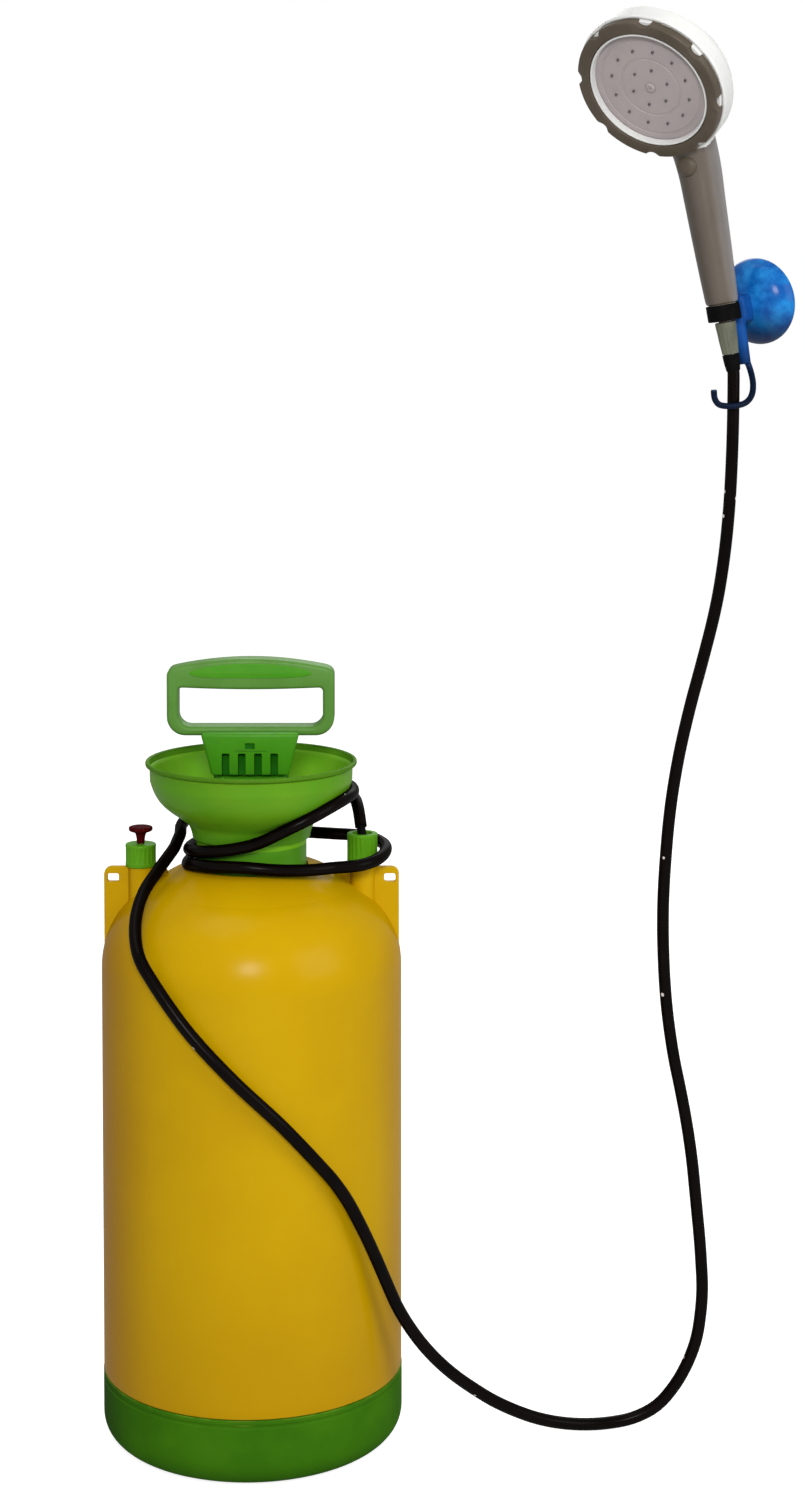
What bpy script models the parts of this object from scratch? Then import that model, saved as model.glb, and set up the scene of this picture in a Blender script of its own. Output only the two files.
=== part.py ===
# Portable pressure shower: a hand-pumped water tank with a filling funnel, a relief valve,
# a hose wound round the neck and a shower handset in a suction-cup holder.
# Metres, +Z up. The origin is the centre of the base on the floor, and the front faces -Y.

import math

import bmesh
import bpy
from mathutils import Matrix, Vector

# Driving dimensions, in metres and degrees.

GAP = 0.0003                 # air left between two pieces that touch
RUNNING_GAP = 0.0004         # air round a piece that turns or slides

TANK_RADIUS = 0.098
TANK_TOP = 0.372             # height of the flat at the foot of the neck
TANK_WALL = 0.0025
SHOULDER_HEIGHT = 0.060
SHOULDER_START_RADIUS = 0.036
TANK_CORNER_RADIUS = 0.016
NECK_RADIUS = 0.0305
NECK_BORE_RADIUS = 0.026
NECK_HEIGHT = 0.020
EAR_TOP = 0.376
EAR_INSET = 0.0015            # how far an ear's outer edge stands inside the tank's side
EAR_WIDTH = 0.0405
EAR_SLOPE = 0.006            # how far an ear widens down its inner edge
EAR_DEPTH = 0.062
EAR_THICKNESS = 0.005
EAR_HOLE_WIDTH = 0.0074
EAR_HOLE_HEIGHT = 0.0054
EAR_HOLE_EDGE = 0.006         # from the hole's middle to the ear's outer edge
EAR_HOLE_DROP = 0.0072
PORT_INSET = 0.0255           # from a port's axis to the tank's side
PORT_RADIUS = 0.0084
PORT_RISE = 0.004            # how far a port stands above the ear
PORT_DEPTH = 0.030           # how far a port reaches down from the foot of the neck

BOOT_PROUD = 0.0003           # how far the boot stands proud of the tank's side
BOOT_HEIGHT = 0.0455
BOOT_WALL = 0.003
BOOT_CORNER_RADIUS = 0.017

FUNNEL_WALL = 0.0024
FUNNEL_COLLAR_RADIUS = 0.036
FUNNEL_COLLAR_HEIGHT = 0.019
FUNNEL_BOWL = [(0.0364, 0.0245), (0.0396, 0.0325), (0.0456, 0.0374), (0.0534, 0.0430),
               (0.0584, 0.0480), (0.0618, 0.0540), (0.0638, 0.0600)]
FUNNEL_RIM_RADIUS = 0.0690
FUNNEL_LIP_THICKNESS = 0.0025
FUNNEL_HEIGHT = 0.0719
GASKET_THICKNESS = 0.0018

PUMP_SEAL_THICKNESS = 0.0024
CAP_THREAD_LENGTH = 0.017
CAP_FLANGE_RADIUS = 0.0295
CAP_FLANGE_THICKNESS = 0.004
CAP_RADIUS = 0.0245
CAP_HEIGHT = 0.0385          # from the flange's top face
CAP_ROOF = 0.004
CAP_GROOVES = 12
CAP_GROOVE_RADIUS = 0.0016
BARREL_RADIUS = 0.019
BARREL_WALL = 0.0025
BARREL_LENGTH = 0.2535
ROD_RADIUS = 0.005
ROD_STUD_RADIUS = 0.003
ROD_STUD_LENGTH = 0.020
GUIDE_RADIUS = 0.0087
GUIDE_FLANGE_RADIUS = 0.014
GUIDE_FLANGE_THICKNESS = 0.003
GUIDE_RISE = 0.003           # how far the guide stands above the cap
PISTON_RADIUS = 0.0155
PISTON_FLANGE = 0.0038
PISTON_LENGTH = 0.0140
PISTON_HUB_RADIUS = 0.009
PISTON_ABOVE_BARREL_END = 0.020
PISTON_NUT_RADIUS = 0.0058
PISTON_NUT_THICKNESS = 0.005
SEAT_THICKNESS = 0.004
SEAT_HOLE_RADIUS = 0.0025
SEAT_HOLE_CIRCLE = 0.0085
SEAT_HOLES = 4
SEAT_STEM_RADIUS = 0.002
SEAT_STEM_LENGTH = 0.0065
SEAT_HEAD_RADIUS = 0.0035
VALVE_DISC_RADIUS = 0.0125
VALVE_DISC_THICKNESS = 0.0016

HUB_HEIGHT = 0.0250
HUB_BOTTOM_WIDTH = 0.050
HUB_TOP_WIDTH = 0.064
HUB_BOTTOM_DEPTH = 0.032
HUB_TOP_DEPTH = 0.036
HUB_LIFT = 0.0009            # air between the cap and the hub
HUB_RIB_PITCH = 0.0105
HUB_SLOT_WIDTH = 0.0055
HUB_SLOT_HEIGHT = 0.0125
HUB_SLOT_DEPTH = 0.005
HUB_SLOTS = 4
HANDLE_WIDTH = 0.109
HANDLE_HEIGHT = 0.0502
HANDLE_SIDE = 0.0075
HANDLE_BOTTOM_BAR = 0.0060
HANDLE_THICKNESS = 0.018
HANDLE_EDGE = 0.0024
HANDLE_CROWN = 0.0068        # how far the top rises in the middle
HANDLE_GRIP_SAG = 0.0012
HANDLE_GRIP_END = 0.0120     # height of the grip bar at its two ends
HANDLE_LOW_CORNER = 0.012
HANDLE_TOP_CORNER = 0.006
OPENING_LOW_CORNER = 0.008
OPENING_TOP_CORNER = 0.0025
PIN_RADIUS = 0.0015

RELIEF_RADIUS = 0.010
RELIEF_HEIGHT = 0.0147
RELIEF_ROOF = 0.003
RELIEF_BORE = 0.0035
STEM_RADIUS = 0.0014
STEM_FLANGE_RADIUS = 0.005
STEM_FLANGE_THICKNESS = 0.0008
SEAL_RADIUS = 0.0055
SEAL_THICKNESS = 0.0012
KNOB_RADIUS = 0.00785
KNOB_DISC = 0.003
KNOB_FOOT_RADIUS = 0.0026
KNOB_WAIST_RADIUS = 0.0036
KNOB_STEM_LENGTH = 0.0081
KNOB_SOCKET = 0.004
SPRING_TURNS = 3
SPRING_RADIUS = 0.0036
SPRING_WIRE = 0.00035

OUTLET_RADIUS = 0.010
OUTLET_HEIGHT = 0.0217
OUTLET_ROOF = 0.0035
OUTLET_MOUTH_RADIUS = 0.0066
OUTLET_BORE = 0.0046
OUTLET_FLANGE = 0.002
OUTLET_WASHER = 0.001
OUTLET_COLUMN_RADIUS = 0.004
OUTLET_PIPE_RADIUS = 0.0042
OUTLET_PIPE_LENGTH = 0.030
SPIGOT_RADIUS = 0.0029
SPIGOT_BORE = 0.0016
SPIGOT_TILT = 40.0           # degrees from upright
SPIGOT_HEADING = 101.5       # degrees from +X, seen from above
SPIGOT_RISE = 0.0192         # height of its bend above the foot of the outlet
SPIGOT_LENGTH = 0.0072
DIP_TUBE_RADIUS = 0.0042
DIP_TUBE_WALL = 0.0015
DIP_TUBE_END = 0.030
STRAINER_RADIUS = 0.0085
STRAINER_WALL = 0.0016
STRAINER_HEIGHT = 0.030
STRAINER_END = 0.010
STRAINER_SLOTS = 6
STRAINER_SLOT_WIDTH = 0.003

HOSE_RADIUS = 0.004

HANDSET_FOOT = (0.3118, 0.0, 0.7085)     # where the hose meets the handset
HANDSET_LEAN = 9.9           # degrees, leaning to the left
HANDSET_TURN = -40.2         # degrees about the handle
HANDLE_START = 0.0359        # heights along the handle, from the hose's end
# The grip: share of the way from its start to the head's middle, and radius.
GRIP_SECTIONS = [(0.0, 0.0098), (0.018, 0.0107), (0.113, 0.0114), (0.304, 0.0125), (0.487, 0.0134),
                 (0.606, 0.0141)]
# The neck: how far forward, how far below the head's middle, and radius.
NECK_SECTIONS = [(-0.0020, 0.0399, 0.0149), (-0.0060, 0.0249, 0.0157), (-0.0135, 0.0124, 0.0162)]
NECK_PLUG_RADIUS = 0.0089
SPOUT_RADIUS = 0.0043
SPOUT_START = 0.0124
WATERWAY_RADIUS = 0.0024
HEAD_FORWARD = 0.0436
HEAD_HEIGHT = 0.1779
HEAD_TILT = 117.4            # degrees between the handle and the way the face points
HEAD_WALL = 0.0024
HEAD_BACK = [(0.0509, -0.0062), (0.0509, -0.0190), (0.0486, -0.0240), (0.0428, -0.0290),
             (0.0330, -0.0330), (0.0190, -0.0360), (0.0, -0.0370)]
RING_RADIUS = 0.0494
RING_INNER_RADIUS = 0.041
RING_SKIRT_RADIUS = 0.0480
RING_NOTCHES = 8
RING_NOTCH_RADIUS = 0.0032
RIM_INNER_RADIUS = 0.0368
RIM_DEPTH = 0.0048
PLATE_RADIUS = 0.0402
PLATE_THICKNESS = 0.002
MAT_THICKNESS = 0.0015
NOZZLE_RADIUS = 0.0009
NOZZLE_HOLE_RADIUS = 0.0012
NOZZLE_RINGS = [(0.013, 6), (0.027, 12)]
FACE_SCREW_RADIUS = 0.0034
BUTTON_BELOW_HEAD = 0.0504     # from the head's middle, along the handle
BUTTON_RADIUS = 0.0072
BUTTON_LENGTH = 0.0095

NUT_TOP_RADIUS = 0.0068
NUT_FOOT_RADIUS = 0.0049
NUT_LENGTH = 0.0240
NUT_THREAD_RADIUS = 0.0047
NUT_FLOOR = 0.008
FERRULE_RADIUS = 0.0026
FERRULE_BORE = 0.0015
FERRULE_FLANGE_RADIUS = 0.0044
FERRULE_FLANGE = 0.0015
HOSE_WASHER_THICKNESS = 0.0015

HOLDER_TURN = 50.0           # degrees about the handle, towards the wall side
STRAP_RADIUS = 0.0114
STRAP_BORE_RADIUS = 0.0094
STRAP_HEIGHT = 0.0104
STRAP_START = 0.0251
BRACKET_START = 0.0118       # distances from the handle's axis
BRACKET_END = 0.0250
BRACKET_WIDTH = 0.015
BRACKET_LOW = 0.0215
BRACKET_HIGH = 0.0395
SHANK_DISTANCE = 0.0135
SHANK_RADIUS = 0.0056
SHANK_LOW = -0.0055
CUP_RADIUS = 0.0285
CUP_FACE = 0.0420
CUP_RISE = 0.0020            # above the middle of the strap
CUP_DEPTH = 0.0160
CUP_WALL = 0.0022
CUP_LIP = 0.0009
CUP_STUD_RADIUS = 0.0055
CUP_STUD_LENGTH = 0.0085
HOOK_WIRE_RADIUS = 0.0021
# The hook's bends, measured from the handle's axis in the leaning frame.
HOOK_ROUTE = [(0.0100, 0.0104, -0.0010), (0.0112, 0.0104, -0.0055), (0.0120, 0.0085, -0.0118),
              (0.0116, 0.0045, -0.0190), (0.0092, 0.0000, -0.0254), (0.0043, -0.0052, -0.0292),
              (-0.0022, -0.0090, -0.0300), (-0.0090, -0.0112, -0.0291), (-0.0142, -0.0124, -0.0270),
              (-0.0162, -0.0132, -0.0231), (-0.0160, -0.0138, -0.0170)]

# The hose's winding round the neck: angle in degrees, then radius and height in metres.
WINDING_BEHIND = [(22, 0.0722, 0.4156), (38, 0.0688, 0.4148), (60, 0.0620, 0.4090), (90, 0.0550, 0.3985),
                  (105, 0.0524, 0.3928), (120, 0.0502, 0.3870), (135, 0.0470, 0.3820), (150, 0.0438, 0.3792),
                  (165, 0.0420, 0.3786), (180, 0.0415, 0.3791), (198, 0.0426, 0.3804), (216, 0.0432, 0.3822),
                  (234, 0.0436, 0.3836), (252, 0.0440, 0.3846), (270, 0.0446, 0.3846), (288, 0.0464, 0.3832),
                  (306, 0.0508, 0.3821), (320, 0.0572, 0.3818)]
OUTLET_LOOP_INSET = 0.0145   # from the loop's centre to the outlet's axis
OUTLET_LOOP_RADIUS = 0.030
OUTLET_LOOP_HEIGHTS = (0.3818, 0.3876, 0.3908)     # front, right and back
WINDING_AHEAD = [(405, 0.0516, 0.3907), (425, 0.0436, 0.3902), (450, 0.0409, 0.3897), (480, 0.0408, 0.3888),
                 (510, 0.0408, 0.3881), (540, 0.0408, 0.3879), (558, 0.0408, 0.3891), (576, 0.0409, 0.3909),
                 (594, 0.0413, 0.3928), (612, 0.0424, 0.3952), (630, 0.0438, 0.3984), (640, 0.0454, 0.4009),
                 (651, 0.0504, 0.4062), (662, 0.0566, 0.4122), (674, 0.0620, 0.4182), (687, 0.0652, 0.4232),
                 (700, 0.0664, 0.4254), (720, 0.0666, 0.4258), (750, 0.0660, 0.4250), (780, 0.0644, 0.4210),
                 (810, 0.0606, 0.4150), (840, 0.0566, 0.4090), (870, 0.0520, 0.4016), (888, 0.0496, 0.3962),
                 (900, 0.0485, 0.3928)]
WINDING_POINT_PITCH = 0.0094
# The hose's run from the winding, down in front of the tank, along the floor and up.
RUN_ROUTE = [(-0.0485, 0.0, 0.3928), (-0.0520, -0.0130, 0.3874), (-0.0590, -0.0265, 0.3790),
             (-0.0665, -0.0415, 0.3690), (-0.0705, -0.0560, 0.3560), (-0.0695, -0.0700, 0.3430),
             (-0.0655, -0.0800, 0.3330), (-0.0547, -0.0880, 0.3180), (-0.0413, -0.0955, 0.3010),
             (-0.0285, -0.1000, 0.2865), (-0.0033, -0.1040, 0.2612), (0.0216, -0.1020, 0.2372),
             (0.0463, -0.0935, 0.2080), (0.0600, -0.0865, 0.1890), (0.0722, -0.0780, 0.1640),
             (0.0840, -0.0690, 0.1345), (0.0964, -0.0600, 0.1026), (0.1092, -0.0520, 0.0796),
             (0.1221, -0.0450, 0.0623), (0.1351, -0.0390, 0.0488), (0.1482, -0.0330, 0.0375),
             (0.1614, -0.0280, 0.0276), (0.1746, -0.0230, 0.0198), (0.1879, -0.0180, 0.0132),
             (0.2012, -0.0130, 0.0084), (0.2146, -0.0090, 0.0055), (0.2279, -0.0060, 0.0046),
             (0.2420, -0.0040, 0.0053), (0.2568, -0.0030, 0.0095), (0.2718, -0.0020, 0.0196),
             (0.2906, 0.0, 0.0510), (0.2966, 0.0, 0.0860), (0.2955, 0.0, 0.1190), (0.2924, 0.0, 0.1520),
             (0.2889, 0.0, 0.1850), (0.2835, 0.0, 0.2180), (0.2768, 0.0, 0.2510), (0.2722, 0.0, 0.2840),
             (0.2700, 0.0, 0.3170), (0.2696, 0.0, 0.3500), (0.2712, 0.0, 0.3830), (0.2742, 0.0, 0.4160),
             (0.2794, 0.0, 0.4490), (0.2867, 0.0, 0.4820), (0.2953, 0.0, 0.5150), (0.3031, 0.0, 0.5480),
             (0.3082, 0.0, 0.5810), (0.3112, 0.0, 0.6140), (0.3127, 0.0, 0.6470), (0.3132, 0.0, 0.6720),
             (0.3133, 0.0, 0.6880)]
RUN_POINT_PITCH = 0.0172

# Heights and places that follow from the sizes above.

boot_radius = TANK_RADIUS + BOOT_PROUD
ear_reach = TANK_RADIUS - EAR_INSET
ear_inner_reach = ear_reach - EAR_WIDTH
ear_hole_x = ear_reach - EAR_HOLE_EDGE
port_x = TANK_RADIUS - PORT_INSET
outlet_loop_centre = port_x - OUTLET_LOOP_INSET
neck_top = TANK_TOP + NECK_HEIGHT
port_top = EAR_TOP + PORT_RISE
fitting_foot = EAR_TOP + GAP
funnel_foot = TANK_TOP + GASKET_THICKNESS + 2 * GAP
funnel_rim = funnel_foot + FUNNEL_HEIGHT
seal_foot = neck_top + GAP
cap_flange_foot = seal_foot + PUMP_SEAL_THICKNESS + GAP
cap_flange_top = cap_flange_foot + CAP_FLANGE_THICKNESS
cap_top = cap_flange_top + CAP_HEIGHT
cap_bore_radius = BARREL_RADIUS + RUNNING_GAP
cap_ceiling = cap_top - CAP_ROOF
guide_flange_top = cap_ceiling - GAP
guide_flange_foot = guide_flange_top - GUIDE_FLANGE_THICKNESS
guide_top = cap_top + GUIDE_RISE
barrel_top = guide_flange_foot - GAP
barrel_end = barrel_top - BARREL_LENGTH
barrel_bore_radius = BARREL_RADIUS - BARREL_WALL
piston_foot = barrel_end + PISTON_ABOVE_BARREL_END
piston_top = piston_foot + PISTON_LENGTH
hub_foot = cap_top + HUB_LIFT
hub_top = hub_foot + HUB_HEIGHT
rod_socket_top = hub_foot + 0.8 * HUB_HEIGHT
rod_top = rod_socket_top - GAP
pin_height = rod_top - 3.5 * PIN_RADIUS
outlet_top = fitting_foot + OUTLET_HEIGHT
spigot_bend = fitting_foot + SPIGOT_RISE

# Scene, materials and small helpers.

for old in list(bpy.data.objects):
    bpy.data.objects.remove(old, do_unlink=True)

parts = bpy.data.collections.new("portable_shower")
helpers = bpy.data.collections.new("cutters")
bpy.context.scene.collection.children.link(parts)
bpy.context.scene.collection.children.link(helpers)


def plastic(name, colour, roughness, metallic=0.0):
    mat = bpy.data.materials.new(name)
    mat.use_nodes = True
    shader = mat.node_tree.nodes["Principled BSDF"]
    shader.inputs["Base Color"].default_value = (*colour, 1.0)
    shader.inputs["Roughness"].default_value = roughness
    shader.inputs["Metallic"].default_value = metallic
    mat.diffuse_color = (*colour, 1.0)
    return mat


tank_yellow = plastic("tank_yellow", (0.62, 0.37, 0.005), 0.35)
fitting_green = plastic("fitting_green", (0.10, 0.33, 0.02), 0.32)
boot_green = plastic("boot_green", (0.05, 0.20, 0.01), 0.45)
knob_red = plastic("knob_red", (0.18, 0.01, 0.015), 0.35)
rubber_black = plastic("rubber_black", (0.015, 0.013, 0.012), 0.55)
hose_black = plastic("hose_black", (0.012, 0.009, 0.008), 0.30)
handset_grey = plastic("handset_grey", (0.33, 0.30, 0.26), 0.30)
face_grey = plastic("face_grey", (0.30, 0.28, 0.28), 0.40)
ring_dark = plastic("ring_dark", (0.06, 0.05, 0.04), 0.25)
holder_blue = plastic("holder_blue", (0.01, 0.14, 0.62), 0.20)
pump_white = plastic("pump_white", (0.70, 0.70, 0.66), 0.40)
rod_steel = plastic("rod_steel", (0.60, 0.60, 0.62), 0.25, 1.0)


def place(obj, mat=None, parent=None, location=(0, 0, 0), rotation=(0, 0, 0)):
    # Puts a piece with a material among the parts, and a helper without one among the cutters.
    collection = parts if mat else helpers
    collection.objects.link(obj)
    obj.parent = parent
    obj.location = location
    obj.rotation_euler = rotation
    if mat:
        obj.data.materials.append(mat)
    else:
        obj.hide_render = True
        obj.display_type = "WIRE"
    return obj


def from_bmesh(name, bm):
    mesh = bpy.data.meshes.new(name)
    bm.to_mesh(mesh)
    bm.free()
    mesh.shade_smooth()
    return bpy.data.objects.new(name, mesh)


def turned(name, outline, mat=None, steps=20, closed=False, **where):
    # A turned solid. Its outline runs down the outer side; a closed one makes a ring.
    mesh = bpy.data.meshes.new(name)
    points = [(radius, 0.0, height) for radius, height in outline]
    edges = [(i, i + 1) for i in range(len(points) - 1)]
    if closed:
        edges.append((len(points) - 1, 0))
    mesh.from_pydata(points, edges, [])
    obj = place(bpy.data.objects.new(name, mesh), mat, **where)
    screw = obj.modifiers.new("Turn", "SCREW")
    screw.axis = "Z"
    screw.steps = steps
    screw.render_steps = steps
    screw.use_merge_vertices = True
    screw.merge_threshold = 0.00001
    screw.use_smooth_shade = True
    return obj


def washer(name, inner, outer, low, high, mat, steps=20, **where):
    outline = [(outer, high), (outer, low), (inner, low), (inner, high)]
    return turned(name, outline, mat, steps, closed=True, **where)


def cylinder(name, radius, low, high, mat=None, sides=20, top_radius=None, **where):
    bm = bmesh.new()
    bmesh.ops.create_cone(bm, cap_ends=True, segments=sides, radius1=radius,
                          radius2=radius if top_radius is None else top_radius, depth=high - low)
    bmesh.ops.translate(bm, verts=bm.verts, vec=(0, 0, (low + high) / 2))
    return place(from_bmesh(name, bm), mat, **where)


def box(name, low, high, mat=None, **where):
    bm = bmesh.new()
    bmesh.ops.create_cube(bm, size=1.0)
    size = [b - a for a, b in zip(low, high)]
    middle = [(a + b) / 2 for a, b in zip(low, high)]
    bmesh.ops.scale(bm, verts=bm.verts, vec=size)
    bmesh.ops.translate(bm, verts=bm.verts, vec=middle)
    return place(from_bmesh(name, bm), mat, **where)


def boolean(target, other, operation):
    step = target.modifiers.new(other.name, "BOOLEAN")
    step.operation = operation
    step.solver = "EXACT"
    step.object = other


def cut(target, cutter):
    boolean(target, cutter, "DIFFERENCE")


def join(target, other):
    boolean(target, other, "UNION")


def inset(outline, wall):
    # Moves an outline inwards by the wall: the outline runs down its outer side.
    moved = []
    for i, point in enumerate(outline):
        before = Vector(outline[max(i - 1, 0)])
        after = Vector(outline[min(i + 1, len(outline) - 1)])
        here = Vector(point)
        sides = [(q - p).normalized() for p, q in ((before, here), (here, after)) if (q - p).length > 0]
        normals = [Vector((-side.y, side.x)) for side in sides]
        middle = sum(normals, Vector((0, 0))).normalized()
        reach = wall / max(0.4, middle.dot(normals[0]))
        inward = here - middle * reach
        moved.append((max(inward.x, 0.0), inward.y))
    return moved


def mesh_from_curve(curve_object, mat=None):
    # Turns a curve into a closed mesh with its caps welded, under the curve's name.
    bpy.context.view_layer.update()
    evaluated = curve_object.evaluated_get(bpy.context.evaluated_depsgraph_get())
    mesh = bpy.data.meshes.new_from_object(evaluated)
    bm = bmesh.new()
    bm.from_mesh(mesh)
    bmesh.ops.remove_doubles(bm, verts=bm.verts, dist=0.00001)
    bmesh.ops.recalc_face_normals(bm, faces=bm.faces)
    bm.to_mesh(mesh)
    bm.free()
    name = curve_object.name
    parent = curve_object.parent
    location = curve_object.location.copy()
    rotation = curve_object.rotation_euler.copy()
    bpy.data.objects.remove(curve_object, do_unlink=True)
    mesh.name = name
    mesh.materials.clear()
    return place(bpy.data.objects.new(name, mesh), mat, parent, location, rotation)


def tube(name, points, radius, resolution, radii=None, **where):
    # A round tube on a poly curve, with its own radius at each point where radii are given.
    curve = bpy.data.curves.new(name, "CURVE")
    curve.dimensions = "3D"
    curve.bevel_depth = radius
    curve.bevel_resolution = resolution
    curve.use_fill_caps = True
    spline = curve.splines.new("POLY")
    spline.points.add(len(points) - 1)
    for i, point in enumerate(points):
        spline.points[i].co = (*point, 1.0)
        if radii:
            spline.points[i].radius = radii[i] / radius
    obj = bpy.data.objects.new(name, curve)
    return place(obj, **where)


def plate(name, outlines, thickness, edge, **where):
    # A flat plate from closed outlines, thick across its local Z, with rounded edges.
    curve = bpy.data.curves.new(name, "CURVE")
    curve.dimensions = "2D"
    curve.fill_mode = "BOTH"
    curve.extrude = thickness / 2 - edge
    curve.bevel_depth = edge
    curve.bevel_resolution = 1
    curve.offset = -edge
    for outline in outlines:
        spline = curve.splines.new("POLY")
        spline.points.add(len(outline) - 1)
        for i, (x, y) in enumerate(outline):
            spline.points[i].co = (x, y, 0.0, 1.0)
        spline.use_cyclic_u = True
    return mesh_from_curve(place(bpy.data.objects.new(name, curve), **where))


def rounded(corners, steps=3):
    # Rounds each corner (x, y, radius) of a closed outline with an arc.
    outline = []
    for i, (x, y, radius) in enumerate(corners):
        here = Vector((x, y))
        if radius == 0:
            outline.append((x, y))
            continue
        back = Vector(corners[i - 1][:2]) - here
        ahead = Vector(corners[(i + 1) % len(corners)][:2]) - here
        half = back.angle(ahead) / 2
        centre = here + (back.normalized() + ahead.normalized()).normalized() * radius / math.sin(half)
        start = here + back.normalized() * radius / math.tan(half) - centre
        finish = here + ahead.normalized() * radius / math.tan(half) - centre
        turn = start.angle_signed(finish)
        for step in range(steps + 1):
            angle = -turn * step / steps
            outline.append(tuple(centre + Matrix.Rotation(angle, 2) @ start))
    return outline


def smooth_route(knots, pitch):
    # Reads evenly spaced points, about a pitch apart, from a smooth curve through the knots.
    points = [Vector(knot) for knot in knots]
    points = [2 * points[0] - points[1]] + points + [2 * points[-1] - points[-2]]
    samples = []
    for a, b, c, d in zip(points, points[1:], points[2:], points[3:]):
        t1 = (b - a).length ** 0.5
        t2 = t1 + (c - b).length ** 0.5
        t3 = t2 + (d - c).length ** 0.5
        for step in range(12):
            t = t1 + (t2 - t1) * step / 12
            ab = a.lerp(b, t / t1)
            bc = b.lerp(c, (t - t1) / (t2 - t1))
            cd = c.lerp(d, (t - t2) / (t3 - t2))
            samples.append(ab.lerp(bc, t / t2).lerp(bc.lerp(cd, (t - t1) / (t3 - t1)), (t - t1) / (t2 - t1)))
    samples.append(points[-2])
    walked = [0.0]
    for a, b in zip(samples, samples[1:]):
        walked.append(walked[-1] + (b - a).length)
    count = max(2, round(walked[-1] / pitch))
    route = []
    at = 0
    for k in range(count + 1):
        goal = walked[-1] * k / count
        while at < len(samples) - 2 and walked[at + 1] < goal:
            at += 1
        share = (goal - walked[at]) / (walked[at + 1] - walked[at])
        route.append(samples[at].lerp(samples[at + 1], min(share, 1.0)))
    return route


def without_start(route, reach):
    # Leaves out the points of a route that lie within a reach of its first point.
    near = 0
    while (route[near] - route[0]).length < reach:
        near += 1
    return route[near:]


def frame_empty(name, location, rotation, parent=None):
    empty = bpy.data.objects.new(name, None)
    empty.empty_display_size = 0.02
    parts.objects.link(empty)
    empty.parent = parent
    empty.location = location
    empty.rotation_euler = rotation.to_euler()
    return empty


leaning = Matrix.Rotation(math.radians(-HANDSET_LEAN), 3, "Y")
lean_frame = frame_empty("lean_frame", HANDSET_FOOT, leaning)
handset_frame = frame_empty("handset_frame", HANDSET_FOOT,
                            leaning @ Matrix.Rotation(math.radians(HANDSET_TURN), 3, "Z"))
holder_frame = frame_empty("holder_frame", HANDSET_FOOT,
                           leaning @ Matrix.Rotation(math.radians(HOLDER_TURN), 3, "Z"))
head_frame = frame_empty("head_frame", (0, -HEAD_FORWARD, HEAD_HEIGHT),
                         Matrix.Rotation(math.radians(HEAD_TILT), 3, "X"), handset_frame)
cup_frame = frame_empty("cup_frame", (0, 0, STRAP_START + STRAP_HEIGHT / 2 + CUP_RISE),
                        Matrix.Rotation(math.radians(90), 3, "Y"), holder_frame)


# Tank.

def tank_outline(inward):
    # The tank's side, from the foot of the neck down to the middle of its base.
    top = TANK_TOP - inward
    start = SHOULDER_START_RADIUS
    outline = [(start, top)]
    shoulder_steps = 6
    for step in range(1, shoulder_steps + 1):
        angle = math.radians(90 * step / shoulder_steps)
        outline.append((start + (TANK_RADIUS - inward - start) * math.sin(angle),
                        TANK_TOP - SHOULDER_HEIGHT + (SHOULDER_HEIGHT - inward) * math.cos(angle)))
    seat = BOOT_HEIGHT + GAP + inward
    boot_bore = boot_radius - BOOT_WALL - RUNNING_GAP - inward
    outline.append((TANK_RADIUS - inward, seat))
    outline.append((boot_bore, seat))
    foot = BOOT_WALL + GAP + inward
    corner = TANK_CORNER_RADIUS - inward
    for step in range(4):
        angle = math.radians(90 * step / 3)
        outline.append((boot_bore - corner + corner * math.cos(angle), foot + corner - corner * math.sin(angle)))
    outline.append((0.0, foot))
    return outline


def make_tank():
    outer = [(0.0, neck_top), (NECK_RADIUS, neck_top), (NECK_RADIUS, TANK_TOP)] + tank_outline(0.0)
    tank = turned("tank_shell", outer, tank_yellow, steps=32)
    above = neck_top + 0.01
    inner = [(0.0, above), (NECK_BORE_RADIUS, above), (NECK_BORE_RADIUS, TANK_TOP - TANK_WALL)]
    cavity = turned("tank_cavity", inner + tank_outline(TANK_WALL), steps=24)
    for side, label in ((-1, "left"), (1, "right")):
        ear_foot = EAR_TOP - EAR_DEPTH
        corners = [(ear_reach, ear_foot, 0.0), (ear_reach, EAR_TOP, 0.004), (ear_inner_reach, EAR_TOP, 0.004),
                   (ear_inner_reach - EAR_SLOPE, ear_foot + 0.65 * EAR_DEPTH, 0.0)]
        outline = [(side * x, z) for x, z in rounded(corners)]
        ear = plate("ear_" + label, [outline], EAR_THICKNESS, 0.001, rotation=(math.radians(90), 0, 0))
        join(tank, ear)
        port = cylinder("port_" + label, PORT_RADIUS, TANK_TOP - PORT_DEPTH, port_top, location=(side * port_x, 0, 0))
        join(tank, port)
    cut(tank, cavity)
    for side, label, bore in ((-1, "left", RELIEF_BORE), (1, "right", OUTLET_BORE)):
        drill = cylinder("port_bore_" + label, bore, TANK_TOP - 2 * PORT_DEPTH, port_top + PORT_DEPTH,
                         location=(side * port_x, 0, 0))
        cut(tank, drill)
        hole_z = EAR_TOP - EAR_HOLE_DROP
        slot = box("ear_slot_" + label,
                   (side * ear_hole_x - EAR_HOLE_WIDTH / 2, -EAR_THICKNESS, hole_z - EAR_HOLE_HEIGHT / 2),
                   (side * ear_hole_x + EAR_HOLE_WIDTH / 2, EAR_THICKNESS, hole_z + EAR_HOLE_HEIGHT / 2))
        cut(tank, slot)
    return tank


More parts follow.
